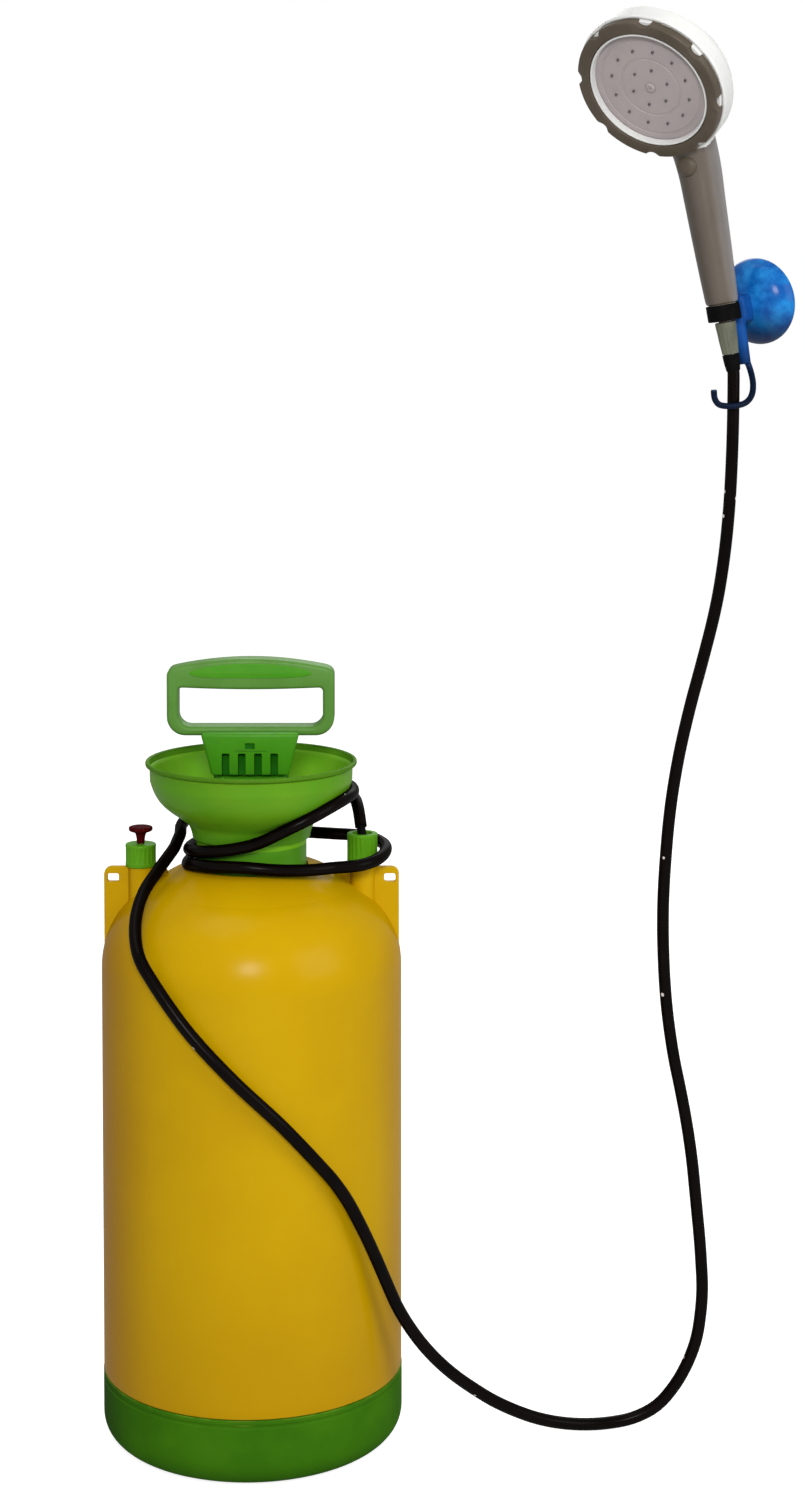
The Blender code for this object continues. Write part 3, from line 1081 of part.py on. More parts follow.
def make_holder():
    strap_top = STRAP_START + STRAP_HEIGHT
    middle = STRAP_START + STRAP_HEIGHT / 2
    tail_half = 0.0025
    strap = washer("holder_strap", STRAP_BORE_RADIUS, STRAP_RADIUS, STRAP_START, strap_top, rubber_black,
                   parent=holder_frame)
    tail_end = BRACKET_START + 0.0035
    join(strap, box("strap_tail", (STRAP_BORE_RADIUS + 0.0006, -tail_half, middle - 0.003),
                    (tail_end, tail_half, middle + 0.003), parent=holder_frame))
    bracket = box("holder_bracket", (BRACKET_START, -BRACKET_WIDTH / 2, BRACKET_LOW),
                  (BRACKET_END, BRACKET_WIDTH / 2, BRACKET_HIGH), holder_blue, parent=holder_frame)
    edges = bracket.modifiers.new("Soft edges", "BEVEL")
    edges.width = 0.0025
    edges.segments = 2
    join(bracket, cylinder("hook_shank", SHANK_RADIUS * 0.8, SHANK_LOW, BRACKET_LOW + 0.002, sides=20,
                           top_radius=SHANK_RADIUS, parent=holder_frame, location=(SHANK_DISTANCE, 0, 0)))
    hook_points = smooth_route(HOOK_ROUTE, 0.0035)
    hook = tube("hook_wire", hook_points, HOOK_WIRE_RADIUS, 2, mat=None, parent=lean_frame)
    join(bracket, mesh_from_curve(hook))
    cut(bracket, box("strap_slot", (BRACKET_START - 0.004, -tail_half - GAP, middle - 0.003 - GAP),
                     (tail_end + GAP, tail_half + GAP, middle + 0.003 + GAP), parent=holder_frame))
    stud_end = CUP_FACE - CUP_DEPTH - CUP_STUD_LENGTH
    cut(bracket, cylinder("stud_socket", CUP_STUD_RADIUS + GAP, stud_end - GAP, CUP_FACE, sides=24,
                          parent=cup_frame))
    apex = CUP_FACE - CUP_DEPTH
    outline = [(0.0, stud_end), (CUP_STUD_RADIUS, stud_end), (CUP_STUD_RADIUS, apex + 0.0004)]
    shell_steps = 6
    for step in range(1, shell_steps + 1):
        angle = math.radians(84 * step / shell_steps)
        share = math.sin(angle) / math.sin(math.radians(84))
        drop = (1 - math.cos(angle)) / (1 - math.cos(math.radians(84)))
        radius = CUP_RADIUS * share
        if radius > CUP_STUD_RADIUS + 0.001:
            outline.append((radius, apex + (CUP_DEPTH - CUP_LIP) * drop))
    outline.append((CUP_RADIUS, CUP_FACE))
    lip_inner = CUP_RADIUS - 0.0035
    outline.append((lip_inner, CUP_FACE))
    for step in range(shell_steps - 1, 0, -1):
        angle = math.radians(84 * step / shell_steps)
        share = math.sin(angle) / math.sin(math.radians(84))
        drop = (1 - math.cos(angle)) / (1 - math.cos(math.radians(84)))
        outline.append((lip_inner * share, apex + CUP_WALL + (CUP_DEPTH - CUP_WALL - 0.0005) * drop))
    outline.append((0.0, apex + CUP_WALL))
    turned("suction_cup", list(reversed(outline)), holder_blue, steps=26, parent=cup_frame)


make_tank()
make_boot()
make_funnel()
make_pump_cap()
make_barrel()
make_plunger()
make_handle()
make_relief_valve()
make_outlet()
make_hose()
make_handset()
make_hose_end()
make_holder()
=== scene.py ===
# Portable pressure shower: the looks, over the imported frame. Metres, +Z up, the front faces -Y.

import math
import bmesh
import bpy
from mathutils import Matrix, Vector


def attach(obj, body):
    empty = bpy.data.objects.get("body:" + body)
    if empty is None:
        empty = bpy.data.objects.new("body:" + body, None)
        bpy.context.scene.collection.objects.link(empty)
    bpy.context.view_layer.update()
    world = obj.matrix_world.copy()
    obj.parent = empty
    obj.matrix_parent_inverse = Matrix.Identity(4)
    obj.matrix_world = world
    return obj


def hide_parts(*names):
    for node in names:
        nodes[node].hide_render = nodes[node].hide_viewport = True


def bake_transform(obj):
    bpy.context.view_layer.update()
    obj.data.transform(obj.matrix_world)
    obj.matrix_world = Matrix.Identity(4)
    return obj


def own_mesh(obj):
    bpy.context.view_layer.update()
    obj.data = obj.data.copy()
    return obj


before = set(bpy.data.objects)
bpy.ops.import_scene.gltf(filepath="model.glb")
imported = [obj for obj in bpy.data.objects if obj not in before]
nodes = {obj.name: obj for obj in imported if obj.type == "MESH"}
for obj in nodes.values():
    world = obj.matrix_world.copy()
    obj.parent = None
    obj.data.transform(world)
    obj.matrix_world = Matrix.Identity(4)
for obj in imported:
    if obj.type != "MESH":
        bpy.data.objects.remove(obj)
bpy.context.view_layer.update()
print("frame loaded with", len(nodes), "nodes")

photoView = {
    "place": (0.0988, -1.8334, 0.7856),
    "lens": 67.99, "longSide": 36,      # millimetres
    "pitch": 3.5,                       # degrees below level
    "shiftUp": -0.225,
}

cameraData = bpy.data.cameras.new("photoCamera")
cameraData.lens = photoView["lens"]
cameraData.sensor_width = photoView["longSide"]
cameraData.shift_y = photoView["shiftUp"]
camera = bpy.data.objects.new("photoCamera", cameraData)
bpy.context.scene.collection.objects.link(camera)
camera.location = photoView["place"]
camera.rotation_euler = (math.radians(90 - photoView["pitch"]), 0, 0)
bpy.context.scene.camera = camera


# Small helpers for meshes.

def turn(degrees, axis, size=4):
    return Matrix.Rotation(math.radians(degrees), size, axis)


def shift(x, y, z):
    return Matrix.Translation((x, y, z))


def addObject(name, data):
    thing = bpy.data.objects.new(name, data)
    bpy.context.scene.collection.objects.link(thing)
    return thing


def smoothShade(mesh, sharpAngle=40):
    mesh.shade_smooth()
    mesh.set_sharp_from_angle(angle=math.radians(sharpAngle))


def meshObject(name, verts, faces, sharpAngle=40):
    mesh = bpy.data.meshes.new(name)
    mesh.from_pydata([tuple(v) for v in verts], [], faces)
    mesh.update()
    smoothShade(mesh, sharpAngle)
    return addObject(name, mesh)


def builtObject(name, bm):
    mesh = bpy.data.meshes.new(name)
    bm.to_mesh(mesh)
    bm.free()
    smoothShade(mesh)
    return addObject(name, mesh)


def shownMesh(thing):
    # The mesh that the object's modifiers or curve settings make.
    bpy.context.view_layer.update()
    return bpy.data.meshes.new_from_object(thing.evaluated_get(bpy.context.evaluated_depsgraph_get()))


def moveMesh(thing, matrix):
    thing.data.transform(matrix)
    thing.data.update()
    return thing


def paintFaces(thing, look, chosen):
    # Gives the chosen faces one more finish.
    thing.data.materials.append(finishes[look])
    last = len(thing.data.materials) - 1
    for face in thing.data.polygons:
        if chosen(face):
            face.material_index = last


def softCorners(outline, segments=4):
    # Rounds the inner corners of an open list of (a, b, radius) points.
    rounded = []
    for i, (x, y, radius) in enumerate(outline):
        if radius <= 0 or i in (0, len(outline) - 1):
            rounded.append((x, y))
            continue
        here = Vector((x, y))
        back = Vector(outline[i - 1][:2]) - here
        ahead = Vector(outline[i + 1][:2]) - here
        radius = min(radius, 0.45 * back.length, 0.45 * ahead.length)
        start = here + back.normalized() * radius
        end = here + ahead.normalized() * radius
        for k in range(segments + 1):
            t = k / segments
            rounded.append(tuple(start * (1 - t) ** 2 + here * 2 * t * (1 - t) + end * t * t))
    return rounded


def roundedLoop(corners, segments):
    # Rounds each corner (x, z, radius) of a closed outline.
    loop = []
    for i, (x, z, radius) in enumerate(corners):
        if radius <= 0:
            loop.append((x, z))
            continue
        here = Vector((x, z))
        back = Vector(corners[i - 1][:2]) - here
        ahead = Vector(corners[(i + 1) % len(corners)][:2]) - here
        half = back.angle(ahead) / 2
        centre = here + (back.normalized() + ahead.normalized()).normalized() * radius / math.sin(half)
        first = here + back.normalized() * radius / math.tan(half) - centre
        last = here + ahead.normalized() * radius / math.tan(half) - centre
        swing = first.angle_signed(last)
        for step in range(segments + 1):
            loop.append(tuple(centre + Matrix.Rotation(-swing * step / segments, 2) @ first))
    return loop


def arc(x, z, wide, high, start, end, steps):
    # Points of an ellipse round (x, z), from a start to an end in degrees off its top.
    angles = [math.radians(start + (end - start) * step / steps) for step in range(steps + 1)]
    return [(x + wide * math.sin(angle), z + high * math.cos(angle)) for angle in angles]


def smoothRoute(knots, pitch):
    # Evenly spaced points, about a pitch apart, on a smooth curve through the knots.
    points = [Vector(knot) for knot in knots]
    points = [2 * points[0] - points[1]] + points + [2 * points[-1] - points[-2]]
    samples = []
    for a, b, c, d in zip(points, points[1:], points[2:], points[3:]):
        t1 = (b - a).length ** 0.5
        t2 = t1 + (c - b).length ** 0.5
        t3 = t2 + (d - c).length ** 0.5
        for step in range(12):
            t = t1 + (t2 - t1) * step / 12
            ab = a.lerp(b, t / t1)
            bc = b.lerp(c, (t - t1) / (t2 - t1))
            cd = c.lerp(d, (t - t2) / (t3 - t2))
            samples.append(ab.lerp(bc, t / t2).lerp(bc.lerp(cd, (t - t1) / (t3 - t1)), (t - t1) / (t2 - t1)))
    samples.append(points[-2])
    walked = [0.0]
    for a, b in zip(samples, samples[1:]):
        walked.append(walked[-1] + (b - a).length)
    count = max(2, round(walked[-1] / pitch))
    route = []
    at = 0
    for k in range(count + 1):
        goal = walked[-1] * k / count
        while at < len(samples) - 2 and walked[at + 1] < goal:
            at += 1
        share = (goal - walked[at]) / (walked[at + 1] - walked[at])
        route.append(samples[at].lerp(samples[at + 1], min(share, 1.0)))
    return route


def softLine(points, pitch):
    return [(p.x, p.y) for p in smoothRoute([Vector((x, y, 0)) for x, y in points], pitch)]


def movedIn(line, wall):
    # The same line, moved sideways by a wall's thickness.
    moved = []
    for i, point in enumerate(line):
        along = (Vector(line[min(i + 1, len(line) - 1)]) - Vector(line[max(i - 1, 0)])).normalized()
        moved.append((point[0] + along.y * wall, point[1] - along.x * wall))
    return moved


def lathe(name, profile, steps=96, loop=False, ripple=None):
    # Turns a profile of (radius, height) points round Z. A looped one makes a ring.
    # ripple(angle, radius, height) may give each point a radius of its own.
    verts = []
    faces = []
    poles = {}
    columns = []
    for k in range(steps):
        angle = 2 * math.pi * k / steps
        column = []
        for i, (radius, height) in enumerate(profile):
            if radius < 1e-6:
                if i not in poles:
                    poles[i] = len(verts)
                    verts.append((0, 0, height))
                column.append(poles[i])
                continue
            r = ripple(angle, radius, height) if ripple else radius
            column.append(len(verts))
            verts.append((r * math.cos(angle), r * math.sin(angle), height))
        columns.append(column)
    rows = len(profile)
    for k in range(steps):
        a, b = columns[k], columns[(k + 1) % steps]
        for i in range(rows if loop else rows - 1):
            j = (i + 1) % rows
            corners = [a[i], a[j], b[j], b[i]]
            kept = [c for n, c in enumerate(corners) if c not in corners[:n]]
            if len(kept) > 2:
                faces.append(kept)
    return meshObject(name, verts, faces)


def plug(name, radius, low, high, steps):
    # A plain round cutter or core.
    return lathe(name, [(0, low), (radius, low), (radius, high), (0, high)], steps)


def sweepTube(name, route, radius, sides=18, radii=None):
    # A closed round tube along a route, with a frame that doesn't twist.
    points = [Vector(p) for p in route]
    last = len(points) - 1
    tangents = [(points[min(i + 1, last)] - points[max(i - 1, 0)]).normalized() for i in range(last + 1)]
    side = tangents[0].orthogonal().normalized()
    verts = []
    for i, point in enumerate(points):
        if i:
            side = (tangents[i - 1].rotation_difference(tangents[i]) @ side).normalized()
        other = tangents[i].cross(side).normalized()
        r = radii[i] if radii else radius
        for k in range(sides):
            angle = 2 * math.pi * k / sides
            verts.append(point + side * (r * math.cos(angle)) + other * (r * math.sin(angle)))
    faces = []
    for i in range(last):
        for k in range(sides):
            n = (k + 1) % sides
            faces.append([i * sides + k, i * sides + n, (i + 1) * sides + n, (i + 1) * sides + k])
    faces.append(list(range(sides))[::-1])
    faces.append([last * sides + k for k in range(sides)])
    return meshObject(name, verts, faces, sharpAngle=50)


def softBox(name, low, high, edge, segments=3, taper=None):
    bm = bmesh.new()
    bmesh.ops.create_cube(bm, size=1.0)
    for vert in bm.verts:
        spot = Vector([low[i] + (high[i] - low[i]) * (vert.co[i] + 0.5) for i in range(3)])
        vert.co = taper(spot) if taper else spot
    bmesh.ops.bevel(bm, geom=list(bm.edges), offset=edge, segments=segments, profile=0.5, affect="EDGES")
    return builtObject(name, bm)


def slab(name, outlines, thickness, edge, smoothness=3):
    # A flat plate in the XZ plane, centred on Y = 0, from closed outlines, with rounded edges.
    curve = bpy.data.curves.new(name, "CURVE")
    curve.dimensions = "2D"
    curve.fill_mode = "BOTH"
    curve.extrude = thickness / 2 - edge
    curve.bevel_depth = edge
    curve.bevel_resolution = smoothness
    curve.offset = -edge
    for outline in outlines:
        spline = curve.splines.new("POLY")
        spline.points.add(len(outline) - 1)
        for i, (x, z) in enumerate(outline):
            spline.points[i].co = (x, z, 0, 1)
        spline.use_cyclic_u = True
    drawn = addObject(name + "Curve", curve)
    mesh = shownMesh(drawn)
    bpy.data.objects.remove(drawn, do_unlink=True)
    bm = bmesh.new()
    bm.from_mesh(mesh)
    bmesh.ops.remove_doubles(bm, verts=bm.verts, dist=0.00001)
    bmesh.ops.recalc_face_normals(bm, faces=bm.faces)
    return moveMesh(builtObject(name, bm), turn(90, "X"))


def joined(name, things):
    # One object of several meshes.
    bm = bmesh.new()
    for thing in things:
        bm.from_mesh(thing.data)
        bpy.data.objects.remove(thing, do_unlink=True)
    return builtObject(name, bm)


def carve(thing, cutters):
    for cutter in cutters:
        step = thing.modifiers.new(cutter.name, "BOOLEAN")
        step.operation = "DIFFERENCE"
        step.solver = "EXACT"
        step.object = cutter
    mesh = shownMesh(thing)
    thing.modifiers.clear()
    thing.data = mesh
    smoothShade(mesh)
    for cutter in cutters:
        bpy.data.objects.remove(cutter, do_unlink=True)


def meltTogether(thing, grain, passes):
    # Runs joined meshes into one skin with soft inner corners.
    skin = thing.modifiers.new("skin", "REMESH")
    skin.mode = "VOXEL"
    skin.voxel_size = grain
    skin.use_smooth_shade = True
    soften = thing.modifiers.new("soften", "SMOOTH")
    soften.factor = 0.5
    soften.iterations = passes
    mesh = shownMesh(thing)
    thing.modifiers.clear()
    thing.data = mesh
    mesh.shade_smooth()


def fluted(count, radius, depth, low, high):
    # A ripple of round-bottomed flutes between two heights, outside a radius.
    def ripple(angle, r, height):
        if r < radius or not low < height < high:
            return r
        return r - depth * (0.5 - 0.5 * math.cos(count * angle)) ** 2
    return ripple


# The hose, on the same route as its solids.

hose = {
    "radius": 0.004, "sides": 18,
    "spigot": {"foot": (0.0725, 0.0, 0.3955), "length": 0.0075, "tilt": 40.0, "heading": 101.5},
    "loopCentre": 0.058, "loopRadius": 0.030,
    "loopHeights": (0.3818, 0.3876, 0.3908),       # front, right and back
    # The winding behind and ahead of the loop: degrees, radius and height.
    "behind": [
        (22, 0.0722, 0.4156), (38, 0.0688, 0.4148), (60, 0.0620, 0.4090), (90, 0.0550, 0.3985),
        (105, 0.0524, 0.3928), (120, 0.0502, 0.3870), (135, 0.0470, 0.3820), (150, 0.0438, 0.3792),
        (165, 0.0420, 0.3786), (180, 0.0415, 0.3791), (198, 0.0426, 0.3804), (216, 0.0432, 0.3822),
        (234, 0.0436, 0.3836), (252, 0.0440, 0.3846), (270, 0.0446, 0.3846), (288, 0.0464, 0.3832),
        (306, 0.0508, 0.3821), (320, 0.0572, 0.3818)],
    "ahead": [
        (405, 0.0516, 0.3907), (425, 0.0436, 0.3902), (450, 0.0409, 0.3897), (480, 0.0408, 0.3888),
        (510, 0.0408, 0.3881), (540, 0.0408, 0.3879), (558, 0.0408, 0.3891), (576, 0.0409, 0.3909),
        (594, 0.0413, 0.3928), (612, 0.0424, 0.3952), (630, 0.0438, 0.3984), (640, 0.0454, 0.4009),
        (651, 0.0504, 0.4062), (662, 0.0566, 0.4122), (674, 0.0620, 0.4182), (687, 0.0652, 0.4232),
        (700, 0.0664, 0.4254), (720, 0.0666, 0.4258), (750, 0.0660, 0.4250), (780, 0.0644, 0.4210),
        (810, 0.0606, 0.4150), (840, 0.0566, 0.4090), (870, 0.0520, 0.4016), (888, 0.0496, 0.3962),
        (900, 0.0485, 0.3928)],
    "run": [
        (-0.0485, 0.0, 0.3928), (-0.0520, -0.0130, 0.3874), (-0.0590, -0.0265, 0.3790),
        (-0.0665, -0.0415, 0.3690), (-0.0705, -0.0560, 0.3560), (-0.0695, -0.0700, 0.3430),
        (-0.0655, -0.0800, 0.3330), (-0.0547, -0.0880, 0.3180), (-0.0413, -0.0955, 0.3010),
        (-0.0285, -0.1000, 0.2865), (-0.0033, -0.1040, 0.2612), (0.0216, -0.1020, 0.2372),
        (0.0463, -0.0935, 0.2080), (0.0600, -0.0865, 0.1890), (0.0722, -0.0780, 0.1640),
        (0.0840, -0.0690, 0.1345), (0.0964, -0.0600, 0.1026), (0.1092, -0.0520, 0.0796),
        (0.1221, -0.0450, 0.0623), (0.1351, -0.0390, 0.0488), (0.1482, -0.0330, 0.0375),
        (0.1614, -0.0280, 0.0276), (0.1746, -0.0230, 0.0198), (0.1879, -0.0180, 0.0132),
        (0.2012, -0.0130, 0.0084), (0.2146, -0.0090, 0.0055), (0.2279, -0.0060, 0.0046),
        (0.2420, -0.0040, 0.0053), (0.2568, -0.0030, 0.0095), (0.2718, -0.0020, 0.0196),
        (0.2906, 0.0, 0.0510), (0.2966, 0.0, 0.0860), (0.2955, 0.0, 0.1190), (0.2924, 0.0, 0.1520),
        (0.2889, 0.0, 0.1850), (0.2835, 0.0, 0.2180), (0.2768, 0.0, 0.2510), (0.2722, 0.0, 0.2840),
        (0.2700, 0.0, 0.3170), (0.2696, 0.0, 0.3500), (0.2712, 0.0, 0.3830), (0.2742, 0.0, 0.4160),
        (0.2794, 0.0, 0.4490), (0.2867, 0.0, 0.4820), (0.2953, 0.0, 0.5150), (0.3031, 0.0, 0.5480),
        (0.3082, 0.0, 0.5810), (0.3112, 0.0, 0.6140), (0.3127, 0.0, 0.6470), (0.3132, 0.0, 0.6720),
        (0.3133, 0.0, 0.6880)],
    # Spacing of the route's points and of the mesh's.
    "woundPitches": (0.0094, 0.0035), "freePitches": (0.0172, 0.0045),
    "gap": 0.00015,                                # half of the gap where the two stretches meet
    # Two points on the free stretch of the hose, where the real hose gives way as the handset is lifted; this
    # script doesn't use them.
    "stretchStart": (0.2725, 0.0, 0.280), "stretchEnd": (0.4080, 0.0, 0.655),
}

handsetPlace = {
    "foot": (0.3118, 0.0, 0.7085), "lean": 9.9, "turn": -40.2, "holderTurn": 50.0,
    "headForward": 0.0436, "headHeight": 0.1779, "headTilt": 117.4, "cupHeight": 0.0323,
}
leanMatrix = shift(*handsetPlace["foot"]) @ turn(-handsetPlace["lean"], "Y")
handsetMatrix = leanMatrix @ turn(handsetPlace["turn"], "Z")
holderMatrix = leanMatrix @ turn(handsetPlace["holderTurn"], "Z")
headMatrix = handsetMatrix @ shift(0, -handsetPlace["headForward"], handsetPlace["headHeight"])
headMatrix = headMatrix @ turn(handsetPlace["headTilt"], "X")
cupMatrix = holderMatrix @ shift(0, 0, handsetPlace["cupHeight"]) @ turn(90, "Y")


def routeLength(route):
    return sum((b - a).length for a, b in zip(route, route[1:]))


def withoutStart(route, reach):
    near = 0
    while (route[near] - route[0]).length < reach:
        near += 1
    return route[near:]


def withoutEnd(route, reach):
    return withoutStart(route[::-1], reach)[::-1]


def windingKnots():
    front, right, back = hose["loopHeights"]
    loop = []
    for step in range(-4, 5):
        angle = math.radians(90 * step / 4)
        x = hose["loopCentre"] + hose["loopRadius"] * math.cos(angle)
        y = hose["loopRadius"] * math.sin(angle)
        height = right + (back - right if step > 0 else front - right) * abs(math.sin(angle))
        loop.append((360 + math.degrees(math.atan2(y, x)), math.hypot(x, y), height))
    return hose["behind"] + loop + hose["ahead"]


def windingSlopes(knots):
    # How fast radius and height change with the angle at each knot.
    last = len(knots) - 1
    slopes = []
    for i, knot in enumerate(knots):
        before, after = knots[max(i - 1, 0)], knots[min(i + 1, last)]
        back, ahead = knot[0] - before[0], after[0] - knot[0]
        slope = []
        for axis in (1, 2):
            riseBack = (knot[axis] - before[axis]) / back if back else (after[axis] - knot[axis]) / ahead
            riseAhead = (after[axis] - knot[axis]) / ahead if ahead else riseBack
            slope.append((back * riseAhead + ahead * riseBack) / (back + ahead))
        slopes.append(slope)
    return slopes


def windingRoute(pitch):
    spigot = hose["spigot"]
    way = turn(spigot["heading"], "Z", 3) @ turn(spigot["tilt"], "Y", 3) @ Vector((0, 0, 1))
    start = Vector(spigot["foot"]) + way * spigot["length"]
    knots = windingKnots()
    slopes = windingSlopes(knots)
    places = []
    for i in range(len(knots) - 1):
        span = knots[i + 1][0] - knots[i][0]
        steps = max(2, round(span / 5))
        for step in range(steps):
            t = step / steps
            value = [(2 * t ** 3 - 3 * t * t + 1) * knots[i][axis]
                     + (t ** 3 - 2 * t * t + t) * span * slopes[i][axis - 1]
                     + (3 * t * t - 2 * t ** 3) * knots[i + 1][axis]
                     + (t ** 3 - t * t) * span * slopes[i + 1][axis - 1] for axis in (1, 2)]
            places.append((knots[i][0] + span * t, value[0], value[1]))
    places.append(knots[-1])
    route = []
    for degrees, radius, height in places:
        angle = math.radians(degrees)
        route.append(Vector((radius * math.cos(angle), radius * math.sin(angle), height)))
    straight = start + way * 2 * hose["radius"]
    route = smoothRoute([start, straight] + route, pitch)
    return [start, straight] + withoutStart(route, 3 * hose["radius"])


def runRoute(pitch):
    foot = Vector(handsetPlace["foot"])
    straight = foot - leanMatrix.to_3x3() @ Vector((0, 0, 1)) * 2 * hose["radius"]
    route = smoothRoute([Vector(p) for p in hose["run"]] + [straight, foot], pitch)
    return withoutEnd(route, 3 * hose["radius"]) + [straight, foot]


wound = windingRoute(hose["woundPitches"][0])
free = runRoute(hose["freePitches"][0])
meeting = Vector(wound[-1])
onward = (free[1] - wound[-2]).normalized()
near, far = onward * hose["gap"], onward * 2 * hose["radius"]
wound = withoutEnd(wound, 3 * hose["radius"]) + [meeting - far, meeting - near]
free = [meeting + near, meeting + far] + withoutStart(free, 3 * hose["radius"])
woundFine = smoothRoute(wound, hose["woundPitches"][1])
freeFine = smoothRoute(free, hose["freePitches"][1])
woundHose = sweepTube("woundHose", woundFine, hose["radius"], hose["sides"])
freeHose = sweepTube("freeHose", freeFine, hose["radius"], hose["sides"])
print("hose made: wound %.3f m, free %.3f m" % (routeLength(woundFine), routeLength(freeFine)))


# Finishes. Each effect is a node group that is built once.

def paint(red, green, blue):
    # A linear colour from red, green and blue on a paint chart, 0 to 255.
    chart = [value / 255 for value in (red, green, blue)]
    return tuple(v / 12.92 if v <= 0.04045 else ((v + 0.055) / 1.055) ** 2.4 for v in chart) + (1.0,)


def connect(tree, source, socket):
    if hasattr(source, "is_output"):
        tree.links.new(source, socket)
    else:
        socket.default_value = source


def addNode(tree, kind, sources=None, **values):
    node = tree.nodes.new(kind)
    for key, value in values.items():
        setattr(node, key, value)
    for key, source in (sources or {}).items():
        connect(tree, source, node.inputs[key])
    return node


def objectPlace(tree):
    return tree.nodes.new("ShaderNodeTexCoord").outputs["Object"]


def noiseOf(tree, place, scale, detail, roughness=0.55):
    sources = {"Vector": place, "Scale": scale, "Detail": detail, "Roughness": roughness}
    return addNode(tree, "ShaderNodeTexNoise", sources).outputs["Fac"]


def split(tree, vector):
    return addNode(tree, "ShaderNodeSeparateXYZ", {0: vector}).outputs


def maths(tree, way, a, b=0.0, clamp=False):
    return addNode(tree, "ShaderNodeMath", {0: a, 1: b}, operation=way, use_clamp=clamp).outputs[0]


def ramp(tree, source, low, high):
    # A smooth step from 0 at the low value to 1 at the high one.
    return addNode(tree, "ShaderNodeMapRange", {"Value": source, "From Min": low, "From Max": high},
                   interpolation_type="SMOOTHSTEP").outputs["Result"]


def mixed(tree, share, first, second):
    node = addNode(tree, "ShaderNodeMix", data_type="RGBA")
    for key, source in (("Factor_Float", share), ("A_Color", first), ("B_Color", second)):
        connect(tree, source, [s for s in node.inputs if s.identifier == key][0])
    return [s for s in node.outputs if s.identifier == "Result_Color"][0]


surface = {
    "bending": 1.46, "bumpDepth": 0.0001, "fineScale": 1500.0,
    "driftBand": (0.32, 0.72),                 # noise where the second colour starts and is full
    "edgeBand": (0.515, 0.60), "patchScale": 90.0, "patchBand": (0.35, 0.65),
    "smearScale": 40.0, "lineScale": 900.0, "lineSquash": 0.07, "lineShare": 0.5, "shineMiddle": 0.75,
}


def driftMask(tree, start):
    cloud = noiseOf(tree, objectPlace(tree), start["Scale"], 4.0)
    cloud = ramp(tree, cloud, *surface["driftBand"])
    return maths(tree, "MULTIPLY", cloud, start["Amount"], True)


def fadeMask(tree, start):
    height = split(tree, objectPlace(tree))["Z"]
    near = ramp(tree, height, start["None"], start["Full"])
    return maths(tree, "MULTIPLY", near, start["Amount"], True)


# Painted light and shade: mixes in a colour on faces whose normal turns to one side. It is lighter where that
# side is lit and darker where it lies in shade.
def paintedSideMask(tree, start):
    facing = split(tree, tree.nodes.new("ShaderNodeNewGeometry").outputs["Normal"])["X"]
    side = ramp(tree, facing, start["From"], start["Full"])
    return maths(tree, "MULTIPLY", side, start["Amount"], True)


# Rubbed edges: a colour laid on sharp edges in patches. It is mostly wear, but on the suction cup the lighter
# blue is a painted highlight.
def wearAndHighlightMask(tree, start):
    sharp = tree.nodes.new("ShaderNodeNewGeometry").outputs["Pointiness"]
    patches = noiseOf(tree, objectPlace(tree), surface["patchScale"], 4.0)
    edge = ramp(tree, sharp, *surface["edgeBand"])
    share = maths(tree, "MULTIPLY", edge, ramp(tree, patches, *surface["patchBand"]))
    return maths(tree, "MULTIPLY", share, start["Amount"], True)


# Painted glints: small pale spots scattered at random, in place of tiny highlights.
def paintedGlintMask(tree, start):
    cells = addNode(tree, "ShaderNodeTexVoronoi", {"Vector": objectPlace(tree), "Scale": start["Scale"]})
    spot = maths(tree, "LESS_THAN", cells.outputs["Distance"], start["Size"])
    chance = addNode(tree, "ShaderNodeSeparateColor", {0: cells.outputs["Color"]}).outputs[0]
    return maths(tree, "MULTIPLY", spot, maths(tree, "GREATER_THAN", chance, start["Rarity"]))


def wornShine(tree, start):
    place = objectPlace(tree)
    smears = noiseOf(tree, place, start["Scale"], 5.0, 0.65)
    squash = (1.0, 1.0, surface["lineSquash"])
    upright = addNode(tree, "ShaderNodeMapping", {"Vector": place, "Scale": squash}).outputs[0]
    lines = noiseOf(tree, upright, surface["lineScale"], 2.0)
    both = maths(tree, "ADD", smears, maths(tree, "MULTIPLY", lines, surface["lineShare"]))
    swing = maths(tree, "MULTIPLY", maths(tree, "SUBTRACT", both, surface["shineMiddle"]), start["Spread"])
    return maths(tree, "ADD", start["Roughness"], swing, True)


def mouldedSkin(tree, start):
    place = objectPlace(tree)
    fine = noiseOf(tree, place, start["Fine scale"], 2.0)
    wave = noiseOf(tree, place, start["Wave scale"], 1.0)
    first = maths(tree, "MULTIPLY", fine, start["Fine depth"])
    return maths(tree, "ADD", first, maths(tree, "MULTIPLY", wave, start["Wave depth"]))


def partingLine(tree, start):
    across = maths(tree, "ABSOLUTE", split(tree, objectPlace(tree))["Y"])
    return ramp(tree, across, start["Width"], 0.0)


def makeEffect(name, recipe, inputs, output):
    # Where the output is a colour, the recipe gives the share of Other in it.
    tree = bpy.data.node_groups.new(name, "ShaderNodeTree")
    for way, labels in (("INPUT", inputs), ("OUTPUT", [output])):
        for label in labels:
            kind = "NodeSocketColor" if label in ("Colour", "Other") else "NodeSocketFloat"
            tree.interface.new_socket(name=label, in_out=way, socket_type=kind)
    start = tree.nodes.new("NodeGroupInput").outputs
    result = recipe(tree, start)
    if output == "Colour":
        result = mixed(tree, result, start["Colour"], start["Other"])
    tree.links.new(result, tree.nodes.new("NodeGroupOutput").inputs[0])
    return tree


